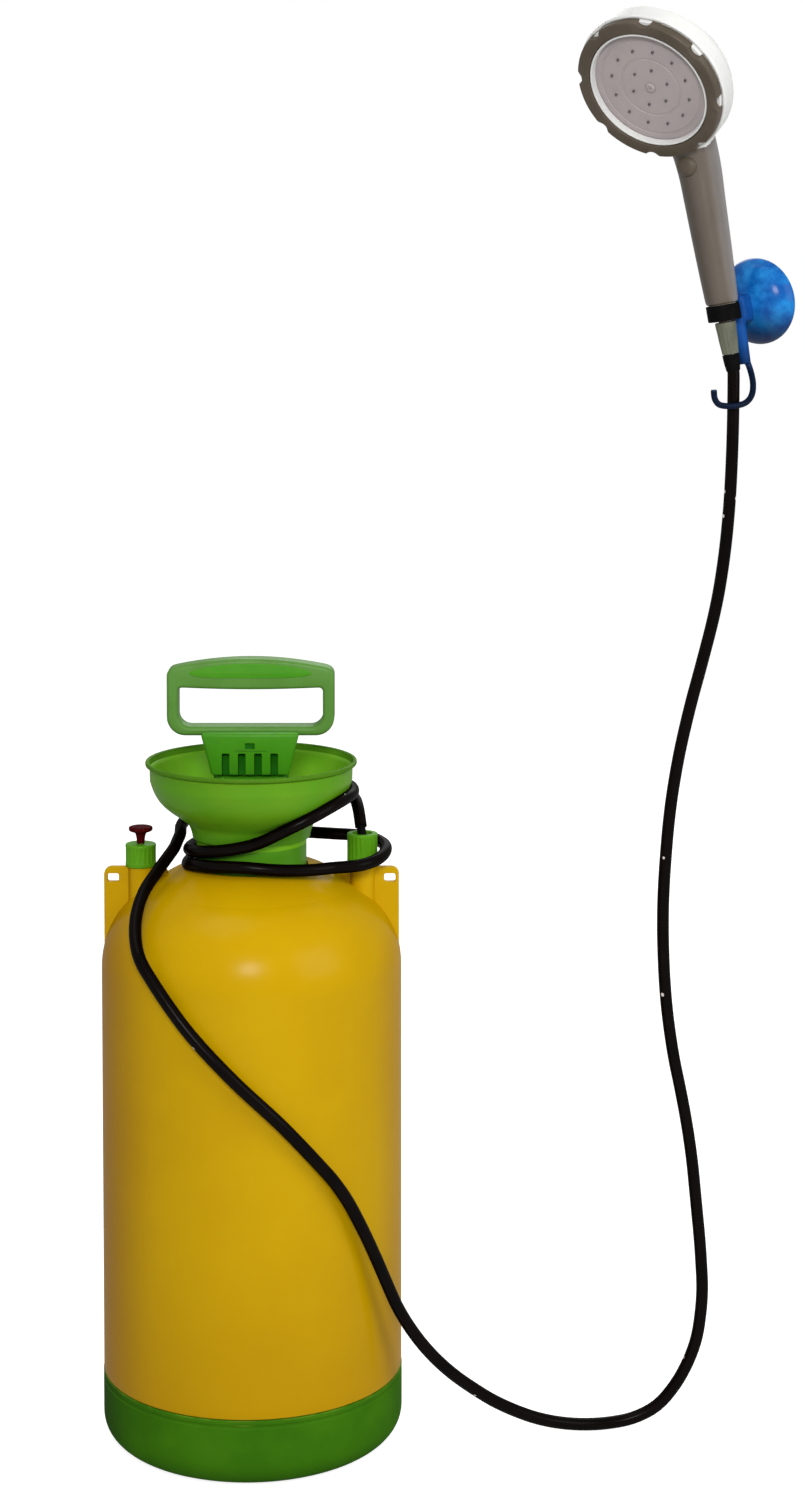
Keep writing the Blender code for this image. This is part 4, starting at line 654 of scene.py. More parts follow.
effects = {
    "drift": makeEffect("colourDrift", driftMask, ["Colour", "Other", "Scale", "Amount"], "Colour"),
    "fades": makeEffect("heightFade", fadeMask, ["Colour", "Other", "Full", "None", "Amount"], "Colour"),
    "sides": makeEffect("paintedSideLightAndShade", paintedSideMask, ["Colour", "Other", "From", "Full", "Amount"], "Colour"),
    "edgeWearAndHighlight": makeEffect("edgeWearAndPaintedHighlight", wearAndHighlightMask, ["Colour", "Other", "Amount"], "Colour"),
    "paintedGlints": makeEffect("paintedGlints", paintedGlintMask, ["Colour", "Other", "Scale", "Size", "Rarity"], "Colour"),
    "shine": makeEffect("wornShine", wornShine, ["Roughness", "Spread", "Scale"], "Roughness"),
    "skin": makeEffect("mouldedSkin", mouldedSkin, ["Fine scale", "Fine depth", "Wave scale", "Wave depth"],
                       "Height"),
    "lines": makeEffect("partingLine", partingLine, ["Width"], "Height"),
}


def placed(tree, effect, *sources):
    # An effect in a material, with its inputs in the group's own order.
    return addNode(tree, "ShaderNodeGroup", dict(enumerate(sources)), node_tree=effects[effect]).outputs[0]


def finish(name, look):
    # A material from its settings: colours that drift and fade, painted side light and shade, rubbed edges
    # that carry painted highlight, painted glints, a worn shine and a moulded skin.
    mat = bpy.data.materials.new(name)
    mat.use_nodes = True
    tree = mat.node_tree
    shader = tree.nodes["Principled BSDF"].inputs
    roughness, spread, coat = look["shine"]
    shader["Metallic"].default_value = look.get("metal", 0.0)
    shader["IOR"].default_value = surface["bending"]
    shader["Specular IOR Level"].default_value = look.get("gloss", 0.0)
    shader["Coat Weight"].default_value = coat
    first, second = [paint(*colour) for colour in look["colours"]]
    colour = placed(tree, "drift", first, second, *look["drift"])
    for effect in ("fades", "sides", "edgeWearAndHighlight", "paintedGlints"):
        for other, *values in look.get(effect, []):
            colour = placed(tree, effect, colour, paint(*other), *values)
    tree.links.new(colour, shader["Base Color"])
    shine = placed(tree, "shine", roughness, spread, surface["smearScale"])
    fine, wave, scale, bump = look["skin"]
    height = placed(tree, "skin", surface["fineScale"], fine, scale, wave)
    for width, depth in look.get("lines", []):
        ridge = maths(tree, "MULTIPLY", placed(tree, "lines", width), depth)
        height = maths(tree, "ADD", height, ridge)
    sources = {"Height": height, "Strength": bump, "Distance": surface["bumpDepth"]}
    normal = addNode(tree, "ShaderNodeBump", sources).outputs["Normal"]
    tree.links.new(shine, shader["Roughness"])
    tree.links.new(shine, shader["Coat Roughness"])
    tree.links.new(normal, shader["Normal"])
    tree.links.new(normal, shader["Coat Normal"])
    return mat


# A look has two paint colours, and the scale and amount of the drift between them. A fade has its
# colour, the heights where it is full and gone, and its amount. A painted side light or shade has its
# colour, the X of the normal where it starts and is full, and its amount. The shine is roughness,
# spread and coat. The skin is fine depth, wave depth, wave scale and bump.
looks = {
    "tankYellow": {
        "colours": [(198, 157, 2), (186, 143, 2)], "drift": (9.0, 0.7),
        "fades": [((180, 136, 2), 0.03, 0.20, 0.6)],
        # The side entries are painted shade: both edges are darker, the left one most.
        "sides": [((158, 110, 0), -0.55, -1.0, 0.8), ((176, 130, 2), 0.80, 1.0, 0.6)],
        "edgeWearAndHighlight": [((228, 196, 60), 0.5)], "shine": (0.23, 0.10, 0.13), "skin": (0.25, 3.0, 16.0, 0.35),
        "lines": [(0.0007, 3.0)]},
    "bootGreen": {
        "colours": [(62, 116, 14), (46, 98, 10)], "drift": (24.0, 0.7),
        # The side entry is painted shade: the left side is darker.
        "fades": [((48, 100, 10), 0.0, 0.03, 0.6)], "sides": [((26, 58, 4), -0.65, -1.0, 0.8)],
        "edgeWearAndHighlight": [((150, 170, 50), 0.9)], "shine": (0.50, 0.2, 0.06), "skin": (0.5, 1.5, 30.0, 0.3)},
    "funnelGreen": {
        "colours": [(86, 146, 20), (98, 150, 24)], "drift": (34.0, 0.8),
        "fades": [((64, 130, 24), 0.385, 0.412, 0.7)],
        "edgeWearAndHighlight": [((60, 112, 26), 0.6)], "shine": (0.38, 0.16, 0.25), "skin": (0.3, 1.4, 26.0, 0.25)},
    "nutGreen": {
        "colours": [(88, 152, 22), (76, 140, 20)], "drift": (60.0, 0.7),
        "shine": (0.38, 0.16, 0.2), "skin": (0.3, 1.0, 60.0, 0.25)},
    # A lighter copy of the funnel green for the inside faces: painted light falling in from above.
    "funnelInsidePaintedLight": {
        "colours": [(106, 172, 24), (118, 174, 34)], "drift": (34.0, 0.8),
        "shine": (0.38, 0.16, 0.25), "skin": (0.3, 1.4, 26.0, 0.25)},
    # A darker copy for the top faces of the lip: painted shade that dims the light falling on them from
    # above.
    "funnelRimPaintedShade": {
        "colours": [(70, 118, 18), (80, 126, 24)], "drift": (60.0, 0.8),
        "shine": (0.42, 0.16, 0.12), "skin": (0.3, 1.0, 40.0, 0.2)},
    "shadeGreen": {
        "colours": [(24, 96, 10), (36, 110, 18)], "drift": (120.0, 0.6),
        "shine": (0.45, 0.14, 0.1), "skin": (0.3, 0.6, 60.0, 0.2)},
    "loopGreen": {
        "colours": [(88, 136, 58), (78, 124, 46)], "drift": (40.0, 0.8),
        "edgeWearAndHighlight": [((52, 84, 30), 1.0)], "shine": (0.38, 0.16, 0.25), "skin": (0.3, 1.2, 40.0, 0.25)},
    "handleGreen": {
        "colours": [(62, 136, 18), (80, 148, 30)], "drift": (30.0, 0.6),
        "edgeWearAndHighlight": [((62, 112, 34), 0.5)], "shine": (0.36, 0.16, 0.25), "skin": (0.3, 1.2, 40.0, 0.25)},
    "knobRed": {
        "colours": [(72, 6, 9), (54, 4, 6)], "drift": (120.0, 0.6),
        "edgeWearAndHighlight": [((150, 50, 50), 0.5)], "shine": (0.36, 0.12, 0.05), "skin": (0.2, 0.5, 90.0, 0.2)},
    "sealBlack": {
        "colours": [(5, 4, 5), (11, 10, 10)], "drift": (200.0, 0.7),
        "shine": (0.62, 0.2, 0.08), "skin": (0.8, 0.6, 120.0, 0.4)},
    "hoseBlack": {
        "colours": [(5, 2, 2), (12, 6, 4)], "drift": (45.0, 0.8),
        # The pale spots are painted glints.
        "paintedGlints": [((215, 208, 204), 130.0, 0.16, 0.93)],
        "shine": (0.24, 0.2, 0.08), "skin": (0.2, 0.6, 60.0, 0.2)},
    "gripGrey": {
        "colours": [(86, 77, 67), (102, 94, 86)], "drift": (16.0, 0.6),
        # The side entries are painted: a pale painted reflection on the right side and painted shade on the
        # left.
        "sides": [((132, 129, 130), 0.30, 0.95, 0.8), ((62, 54, 46), -0.35, -0.95, 0.7)],
        "edgeWearAndHighlight": [((150, 144, 136), 0.3)], "shine": (0.33, 0.14, 0.5), "skin": (0.15, 0.6, 40.0, 0.2)},
    "shellWhite": {
        "colours": [(226, 226, 223), (214, 214, 213)], "drift": (25.0, 0.6),
        "edgeWearAndHighlight": [((200, 198, 196), 0.3)], "shine": (0.28, 0.12, 0.5), "skin": (0.15, 0.5, 40.0, 0.2)},
    "ringOlive": {
        "colours": [(93, 82, 72), (74, 67, 55)], "drift": (30.0, 0.9),
        "edgeWearAndHighlight": [((112, 104, 92), 0.4)], "shine": (0.34, 0.16, 0.3), "skin": (0.2, 0.6, 60.0, 0.2)},
    "faceMauve": {
        "colours": [(176, 166, 165), (164, 156, 157)], "drift": (30.0, 0.7),
        "shine": (0.44, 0.16, 0.2), "skin": (0.4, 0.5, 60.0, 0.25)},
    "nutCream": {
        "colours": [(108, 110, 94), (84, 88, 78)], "drift": (60.0, 0.8),
        "edgeWearAndHighlight": [((200, 195, 178), 0.4)], "shine": (0.40, 0.14, 0.2), "skin": (0.2, 0.5, 80.0, 0.2)},
    "holderBlue": {
        # The lighter drift colour is a painted mottled highlight, the lighter edge colour is a painted
        # highlight, and the navy fade at the bottom is painted shade.
        "colours": [(2, 78, 160), (38, 140, 214)], "drift": (75.0, 0.9),
        "fades": [((2, 20, 56), 0.720, 0.744, 0.9)],
        "edgeWearAndHighlight": [((70, 160, 245), 0.5)], "shine": (0.20, 0.16, 0.25), "skin": (0.1, 2.6, 60.0, 0.3)},
    "hookBlue": {
        "colours": [(14, 66, 134), (24, 84, 160)], "drift": (60.0, 0.7),
        "fades": [((3, 9, 20), 0.698, 0.722, 0.95)],
        "edgeWearAndHighlight": [((60, 140, 235), 0.5)], "shine": (0.27, 0.14, 0.12), "skin": (0.1, 1.0, 90.0, 0.2)},
    "nozzleGrey": {
        "colours": [(112, 105, 107), (98, 92, 95)], "drift": (150.0, 0.6),
        "shine": (0.5, 0.14, 0.15), "skin": (0.4, 0.4, 120.0, 0.2)},
    "pumpWhite": {
        "colours": [(226, 226, 220), (212, 211, 202)], "drift": (40.0, 0.6),
        "edgeWearAndHighlight": [((196, 194, 186), 0.3)], "shine": (0.42, 0.14, 0.25), "skin": (0.3, 0.6, 60.0, 0.2)},
    "rodSteel": {
        "colours": [(200, 200, 203), (176, 176, 180)], "drift": (120.0, 0.5), "metal": 1.0, "gloss": 0.5,
        "shine": (0.28, 0.2, 0.25), "skin": (0.4, 0.3, 200.0, 0.15)},
}
finishes = {name: finish(name, look) for name, look in looks.items()}
print("finishes made:", len(finishes))


def fit(thing, look, slot, body, *stoodFor):
    # Finishes a piece, hangs it on its body and hides the nodes it stands for.
    if not thing.data.materials:
        thing.data.materials.append(finishes[look])
    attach(thing, body)
    if stoodFor:
        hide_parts(*stoodFor)


# The two stretches of hose come first.

fit(woundHose, "hoseBlack", "hose_black", "tank", "hose_winding")
freeHose.data.materials.append(finishes["hoseBlack"])
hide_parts("hose_run")
[tuple(p) for p in wound]
[tuple(p) for p in free]
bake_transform(freeHose)


# Tank.

tank = {
    "radius": 0.098, "top": 0.372, "wall": 0.0025, "steps": 128,
    "shoulder": (0.036, 0.312, 0.060),       # start radius, foot and height
    "sideHeights": (0.29, 0.25, 0.20, 0.15, 0.10, 0.06, 0.055),
    "seat": (0.0949, 0.0458, 0.0033),        # radius and top of the part in the boot, and its foot
    "seatEdge": 0.0009, "baseCorner": 0.016,
    "bore": 0.026, "boreFoot": 0.382,
    "neck": [(0.026, 0.392, 0.0012), (0.0305, 0.392, 0.0012), (0.0305, 0.372, 0.0010)],
    "riseBase": [(0.0372, 0.3600), (0.0372, 0.3775)],
    "rise": [(0.0400, 0.3777), (0.0440, 0.3765), (0.0480, 0.3749), (0.0520, 0.3730), (0.0560, 0.3708),
             (0.0600, 0.3684), (0.0640, 0.3659), (0.0680, 0.3631), (0.0710, 0.3600)],
    "ear": [(0.0965, 0.314, 0.002), (0.0965, 0.376, 0.005), (0.056, 0.376, 0.004), (0.050, 0.354, 0.0)],
    "earHole": (0.0905, 0.3688, 0.0037, 0.0027, 0.0012),      # place, half width, half height and corner
    "earThickness": 0.005, "earEdge": 0.0006, "portPlace": 0.0725,
    "port": [(0, 0.350, 0), (0.0084, 0.350, 0), (0.0084, 0.3762, 0.0004), (0.0078, 0.3770, 0.0003),
             (0.0078, 0.380, 0.0006), (0.0046, 0.380, 0.0004), (0.0046, 0.372, 0), (0, 0.372, 0)],
}


def tankSide(inward, steps):
    # From the neck's foot over the shoulder and down to the middle of the base.
    start, foot, rise = tank["shoulder"]
    radius = tank["radius"] - inward
    seatRadius, seatTop, base = tank["seat"]
    seatRadius -= inward
    corner = tank["baseCorner"] - inward
    points = arc(start, foot, radius - start, rise - inward, 0, 90, steps)
    points += [(radius, z) for z in tank["sideHeights"][:-1]]
    points += softCorners([(radius, tank["sideHeights"][-1], 0), (radius, seatTop + inward, tank["seatEdge"]),
                           (seatRadius, seatTop + inward, 0)], 3)
    points += arc(seatRadius - corner, base + inward + corner, corner, corner, 90, 180, 8)
    return points + [(0.0, base + inward)]


def makeEar(side, label):
    outline = roundedLoop([(side * x, z, radius) for x, z, radius in tank["ear"]], 6)
    x, z, wide, high, corner = tank["earHole"]
    x *= side
    hole = roundedLoop([(x - wide, z - high, corner), (x + wide, z - high, corner),
                        (x + wide, z + high, corner), (x - wide, z + high, corner)], 4)
    return slab("ear" + label, [outline, hole], tank["earThickness"], tank["earEdge"])


def makeTank():
    bore, top = tank["bore"], tank["top"]
    neck = softCorners([(bore, tank["boreFoot"], 0)] + tank["neck"] + [(tank["shoulder"][0], top, 0)], 3)
    inner = tankSide(tank["wall"], 16)[::-1] + [(bore, top - tank["wall"])]
    shell = lathe("tankShell", inner + neck + tankSide(0.0, 24)[1:], tank["steps"])
    fit(shell, "tankYellow", "tank_yellow", "tank", "tank_shell")
    rise = lathe("neckRise", tank["riseBase"] + softLine(tank["rise"], 0.001), 96, loop=True)
    fit(rise, "tankYellow", "tank_yellow", "tank")
    for side, label in ((-1, "Left"), (1, "Right")):
        fit(makeEar(side, label), "tankYellow", "tank_yellow", "tank", "tank_shell")
        port = lathe("port" + label, softCorners(tank["port"], 3), 48)
        moveMesh(port, shift(side * tank["portPlace"], 0, 0))
        fit(port, "tankYellow", "tank_yellow", "tank", "tank_shell")


makeTank()
print("tank made")


# Boot under the tank.

boot = {
    "radius": 0.0983, "wall": 0.003, "corner": 0.017, "steps": 128,
    "side": [(0.0953, 0.030, 0), (0.0953, 0.0455, 0.0009), (0.0983, 0.0455, 0.0009),
             (0.0983, 0.0425, 0.0004), (0.0978, 0.0420, 0.0003), (0.0978, 0.0405, 0.0003),
             (0.0983, 0.0400, 0.0004), (0.0983, 0.020, 0)],
    "base": [(0.0813, 0.0, 0), (0.062, 0.0, 0.001), (0.059, 0.0014, 0.001), (0.0, 0.0016, 0)],
}


def makeBoot():
    radius, wall, corner = boot["radius"], boot["wall"], boot["corner"]
    profile = [(0.0, wall)] + arc(radius - corner, corner, corner - wall, corner - wall, 180, 90, 8)
    profile += softCorners(boot["side"], 3)
    profile += arc(radius - corner, corner, corner, corner, 90, 180, 12)
    profile += softCorners(boot["base"], 3)[1:]
    fit(lathe("boot", profile, boot["steps"]), "bootGreen", "boot_green", "tank", "base_boot")


makeBoot()
print("boot made")


# Funnel round the neck.

funnel = {
    "foot": 0.3744, "collar": (0.036, 0.019), "bore": 0.0309, "wall": 0.0024,
    "bowl": [(0.0364, 0.0245), (0.0396, 0.0325), (0.0456, 0.0374), (0.0534, 0.0430), (0.0584, 0.0480),
             (0.0618, 0.0540), (0.0638, 0.0600)],
    "bowlPitch": 0.0016, "floor": 0.003, "boreEdge": 0.0004, "collarEdge": 0.0006, "collarEnd": 0.001,
    "innerStart": 0.0299, "lipRun": 0.002,
    "lip": [(0.0650, 0.4408, 0.0030), (0.0674, 0.4432, 0.0012), (0.0690, 0.4438, 0.0009),
            (0.0690, 0.4463, 0.0010), (0.0664, 0.4463, 0.0014)],
    "rimShade": (0.0635, 0.4423), "steps": 128,
}


def makeFunnel():
    foot, bore = funnel["foot"], funnel["bore"]
    collar, collarHeight = funnel["collar"]
    step = foot + collarHeight
    floor = step + funnel["floor"]
    bowl = softLine([(collar, collarHeight)] + funnel["bowl"], funnel["bowlPitch"])
    outer = [(r, foot + h) for r, h in bowl]
    inner = [(r, max(h, floor)) for r, h in movedIn(outer, funnel["wall"]) if r > funnel["innerStart"]]
    innerReach, innerTop = inner[-1]
    profile = softCorners([(bore, floor, 0), (bore, foot, funnel["boreEdge"]),
                           (collar, foot, funnel["collarEdge"]), (collar, step - funnel["collarEnd"], 0)], 3)
    profile += outer[1:]
    lip = [outer[-1] + (0,)] + funnel["lip"] + [(innerReach, innerTop + funnel["lipRun"], 0)]
    profile += softCorners(lip, 4)[1:] + inner[::-1]
    piece = lathe("funnelBowl", profile, funnel["steps"], loop=True)
    reach, height = funnel["rimShade"]

    # Inside faces take the painted-light copy, and the lip's top faces take the painted-shade copy.
    def inside(face):
        return face.normal.xy.dot(face.center.xy) < 0 and face.center.z > step

    def onRim(face):
        return face.center.z > height and face.center.xy.length > reach
    piece.data.materials.append(finishes["funnelGreen"])
    paintFaces(piece, "funnelInsidePaintedLight", inside)
    paintFaces(piece, "funnelRimPaintedShade", onRim)
    fit(piece, "funnelGreen", "fitting_green", "tank", "funnel")


makeFunnel()
print("funnel made")


# Pump: cap, handle and hub.

cap = {
    "profile": [(0.0194, 0.4335, 0), (0.0194, 0.3780, 0.0003), (0.0256, 0.3780, 0.0004),
                (0.0256, 0.3950, 0.0003), (0.0295, 0.3950, 0.0006), (0.0295, 0.3990, 0.0009),
                (0.0245, 0.3990, 0.0008), (0.0245, 0.4018, 0), (0.0245, 0.4024, 0), (0.0245, 0.4375, 0.0014),
                (0.0091, 0.4375, 0.0004), (0.0091, 0.4335, 0)],
    "gripBand": (0.0237, 0.0250, 0.4020),      # inner and outer radius, and foot
    "grooves": 12, "grooveRadius": 0.0016, "grooveShare": 0.9, "steps": 192,
}


def makeCap():
    inner, outer, foot = cap["gripBand"]
    pitch = 2 * math.pi / cap["grooves"]

    def grip(angle, radius, height):
        if not inner <= radius <= outer or height < foot:
            return radius
        off = abs((angle / pitch) % 1.0 - 0.5) * pitch * radius
        return radius - cap["grooveShare"] * max(0.0, cap["grooveRadius"] ** 2 - off * off) ** 0.5
    piece = lathe("pumpCap", softCorners(cap["profile"], 4), cap["steps"], loop=True, ripple=grip)
    fit(piece, "handleGreen", "fitting_green", "pump", "pump_cap")


handle = {
    "foot": 0.4634, "width": 0.109, "height": 0.0502, "side": 0.0075, "bar": 0.006, "thickness": 0.018,
    "edge": 0.0024, "crown": 0.0068, "gripEnd": 0.012, "sag": 0.0012, "lowCorner": 0.012, "topCorner": 0.006,
    "openLow": 0.008, "openTop": 0.0025, "steps": 16,
    "padReach": 0.040, "padHalf": 0.0048, "padArch": (0.0022, 0.045), "padThickness": 0.0012,
    "padEdge": 0.0005, "padDrop": 0.0004, "padSunk": 0.0003, "padSteps": 48,
    "crownBend": 0.8, "padBend": (0.8, 1.1),       # powers of the bows: below 1 is fuller
}
hub = {
    "foot": 0.4384, "low": (0.050, 0.032), "high": (0.064, 0.036), "edge": 0.0022,
    "slots": 4, "slotPitch": 0.0105, "slotWidth": 0.0050, "slotHeight": 0.0150, "slotDepth": 0.005,
    "slotEdge": 0.0008, "slotStart": 0.004, "boreStart": 0.01,      # both starts are below the foot
    # Half width, nearest depth, foot, top, edge and its segments.
    "windows": [(0.0032, 0.0160, 0.4562, 0.4602, 0.0006, 2), (0.0105, 0.01655, 0.4544, 0.4552, 0.0002, 1)],
    "windowReach": 0.030, "recess": (0.0102, 0.4425), "rodHole": (0.0053, 0.4584),
    "shade": (0.0008, 0.0192, 0.0002, 0.4603),      # depth, half width, rise above the foot, and top
}


def handleOutlines(steps):
    half = handle["width"] / 2
    sideTop = handle["height"] - handle["crown"]
    inside = half - handle["side"]
    gripFoot = sideTop - handle["gripEnd"]
    outer = [(-half, 0.0, handle["lowCorner"]), (half, 0.0, handle["lowCorner"]),
             (half, sideTop, handle["topCorner"])]
    opening = [(-inside, handle["bar"], handle["openLow"]), (inside, handle["bar"], handle["openLow"]),
               (inside, gripFoot, handle["openTop"])]
    for step in range(1, steps):
        share = step / steps
        bow = math.sin(math.pi * share)
        outer.append((half - 2 * half * share, sideTop + handle["crown"] * bow ** handle["crownBend"], 0))
        opening.append((inside - 2 * inside * share, gripFoot - handle["sag"] * bow, 0))
    outer.append((-half, sideTop, handle["topCorner"]))
    opening.append((-inside, gripFoot, handle["openTop"]))
    outer, opening = [[(x, z + handle["foot"]) for x, z in roundedLoop(line, 8)] for line in (outer, opening)]
    return [outer, opening[::-1]]


def gripPad(side, label):
    # The raised lens on the grip bar, front or back.
    middle = handle["foot"] + handle["height"] - (handle["crown"] + handle["gripEnd"]) / 2 - handle["padDrop"]
    arch, archReach = handle["padArch"]
    acrossBend, upBend = handle["padBend"]
    loop = []
    for step in range(handle["padSteps"]):
        angle = 2 * math.pi * step / handle["padSteps"]
        across, up = math.cos(angle), math.sin(angle)
        x = handle["padReach"] * math.copysign(abs(across) ** acrossBend, across)
        z = handle["padHalf"] * math.copysign(abs(up) ** upBend, up)
        loop.append((x, middle + z + arch * (1 - (x / archReach) ** 2)))
    pad = slab("gripPad" + label, [loop], handle["padThickness"], handle["padEdge"])
    return moveMesh(pad, shift(0, side * (handle["thickness"] / 2 - handle["padSunk"]), 0))


def hubCutter(name, x, half, side, near, far, low, high, edge, segments):
    near, far = sorted((side * near, side * far))
    return softBox(name, (x - half, near, low), (x + half, far, high), edge, segments)


def makeHub():
    low, high = hub["foot"], handle["foot"] + handle["bar"] / 2
    (lowWide, lowDeep), (highWide, highDeep) = hub["low"], hub["high"]

    def sizes(z):
        share = (z - low) / (high - low)
        return lowWide + (highWide - lowWide) * share, lowDeep + (highDeep - lowDeep) * share

    def taper(spot):
        wide, deep = sizes(spot.z)
        return Vector((spot.x * wide, spot.y * deep, spot.z))
    block = softBox("handleHub", (-0.5, -0.5, low), (0.5, 0.5, high), hub["edge"], 4, taper)
    cutters = []
    slotNear, half = lowDeep / 2 - hub["slotDepth"], hub["slotWidth"] / 2
    slotFoot, slotTop = low - hub["slotStart"], low + hub["slotHeight"]
    for i in range(hub["slots"]):
        x = (i - (hub["slots"] - 1) / 2) * hub["slotPitch"]
        for side in (-1, 1):
            cutters.append(hubCutter("slot", x, half, side, slotNear, highDeep, slotFoot, slotTop,
                                     hub["slotEdge"], 2))
    for side in (-1, 1):
        for half, near, *rest in hub["windows"]:
            cutters.append(hubCutter("window", 0, half, side, near, hub["windowReach"], *rest))
    for name, steps in (("recess", 48), ("rodHole", 32)):
        radius, top = hub[name]
        cutters.append(plug(name, radius, low - hub["boreStart"], top, steps))
    carve(block, cutters)
    block.data.materials.append(finishes["handleGreen"])
    depth, half, rise, top = hub["shade"]

    def sunk(face):
        spot = face.center
        below = sizes(spot.z)[1] / 2 - abs(spot.y)
        return below > depth and abs(spot.x) < half and low + rise < spot.z < top
    paintFaces(block, "shadeGreen", sunk)
    fit(block, "handleGreen", "fitting_green", "plunger", "pump_handle")


def makeHandle():
    piece = slab("handleLoop", handleOutlines(handle["steps"]), handle["thickness"], handle["edge"], 4)
    fit(piece, "loopGreen", "fitting_green", "plunger", "pump_handle")
    for side, label in ((-1, "Front"), (1, "Back")):
        fit(gripPad(side, label), "handleGreen", "fitting_green", "plunger")
    makeHub()


makeCap()
makeHandle()
print("pump made")


# Relief valve on the left port and the outlet nut on the right one.

nut = {
    "foot": 0.3763, "radius": 0.010, "waist": 0.0099, "bore": 0.0088, "roof": 0.003, "steps": 120,
    # Heights above the foot and below the top, where the plain bands end and the flutes begin.
    "footBand": (0.0025, 0.0026, 0.0034), "topBand": (0.0026, 0.0018), "fluteEnds": (0.003, 0.002),
    "flutes": 20, "fluteDepth": 0.0005, "fluteReach": 0.0097,
}
valve = {
    "place": -0.0725, "top": 0.3910, "mouth": 0.0018,
    "knob": [(0.0016, 0.3953, 0), (0.0016, 0.3913, 0.0002), (0.0026, 0.3913, 0.0004), (0.0027, 0.3943, 0.002),
             (0.0036, 0.3982, 0.002), (0.00685, 0.3992, 0.0012), (0.00785, 0.3999, 0.0006),
             (0.00785, 0.4020, 0.0008), (0.00605, 0.4024, 0.0010), (0.00485, 0.4020, 0.0008), (0, 0.4020, 0)],
    "knobFlutes": (16, 0.00705, 0.00045, 0.3994, 0.4024),      # count, radius, depth, foot and top
}
outlet = {"place": 0.0725, "top": 0.3980, "mouth": 0.0066}
spring = {"turns": 3, "segments": 12, "radius": 0.0036, "wire": 0.00035, "low": 0.38330, "high": 0.38733,
          "closed": 0.17}


def makeNut(name, piece, body, node):
    radius, waist, bore = nut["radius"], nut["waist"], nut["bore"]
    foot, top, mouth = nut["foot"], piece["top"], piece["mouth"]
    roof = top - nut["roof"]
    profile = [(mouth, roof, 0), (bore, roof, 0), (bore, foot, 0.0003), (radius, foot, 0.0005)]
    for reach, rise in zip((radius, waist, waist), nut["footBand"]):
        profile.append((reach, foot + rise, 0))
    for reach, drop in zip((waist, radius), nut["topBand"]):
        profile.append((reach, top - drop, 0))
    profile += [(radius, top, 0.0012), (mouth, top, 0.0004)]
    low, high = nut["fluteEnds"]
    ripple = fluted(nut["flutes"], nut["fluteReach"], nut["fluteDepth"], foot + low, top - high)
    thing = lathe(name, softCorners(profile, 3), nut["steps"], loop=True, ripple=ripple)
    fit(moveMesh(thing, shift(piece["place"], 0, 0)), "nutGreen", "fitting_green", body, node)


def makeKnob():
    profile = [(0, valve["knob"][0][1])] + softCorners(valve["knob"], 4)
    knob = lathe("valveKnob", profile, 96, ripple=fluted(*valve["knobFlutes"]))
    fit(moveMesh(knob, shift(valve["place"], 0, 0)), "knobRed", "knob_red", "relief", "relief_knob")


def makeSpring():
    coil = []
    count = spring["turns"] * spring["segments"]
    for i in range(count + 1):
        angle = math.tau * i / spring["segments"]
        coil.append((valve["place"] + spring["radius"] * math.cos(angle), spring["radius"] * math.sin(angle),
                     spring["low"] + (spring["high"] - spring["low"]) * i / count))
    piece = sweepTube("reliefSpring", coil, spring["wire"], 8)
    fit(piece, "rodSteel", "rod_steel", "tank", "relief_spring")
    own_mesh(piece)


makeNut("valveBody", valve, "tank", "relief_body")
makeKnob()
makeSpring()
makeNut("outletNut", outlet, "outlet_collar", "outlet_nut")
print("valve and outlet made")


# Handset: grip and head in one skin, the ring, the face and the button.

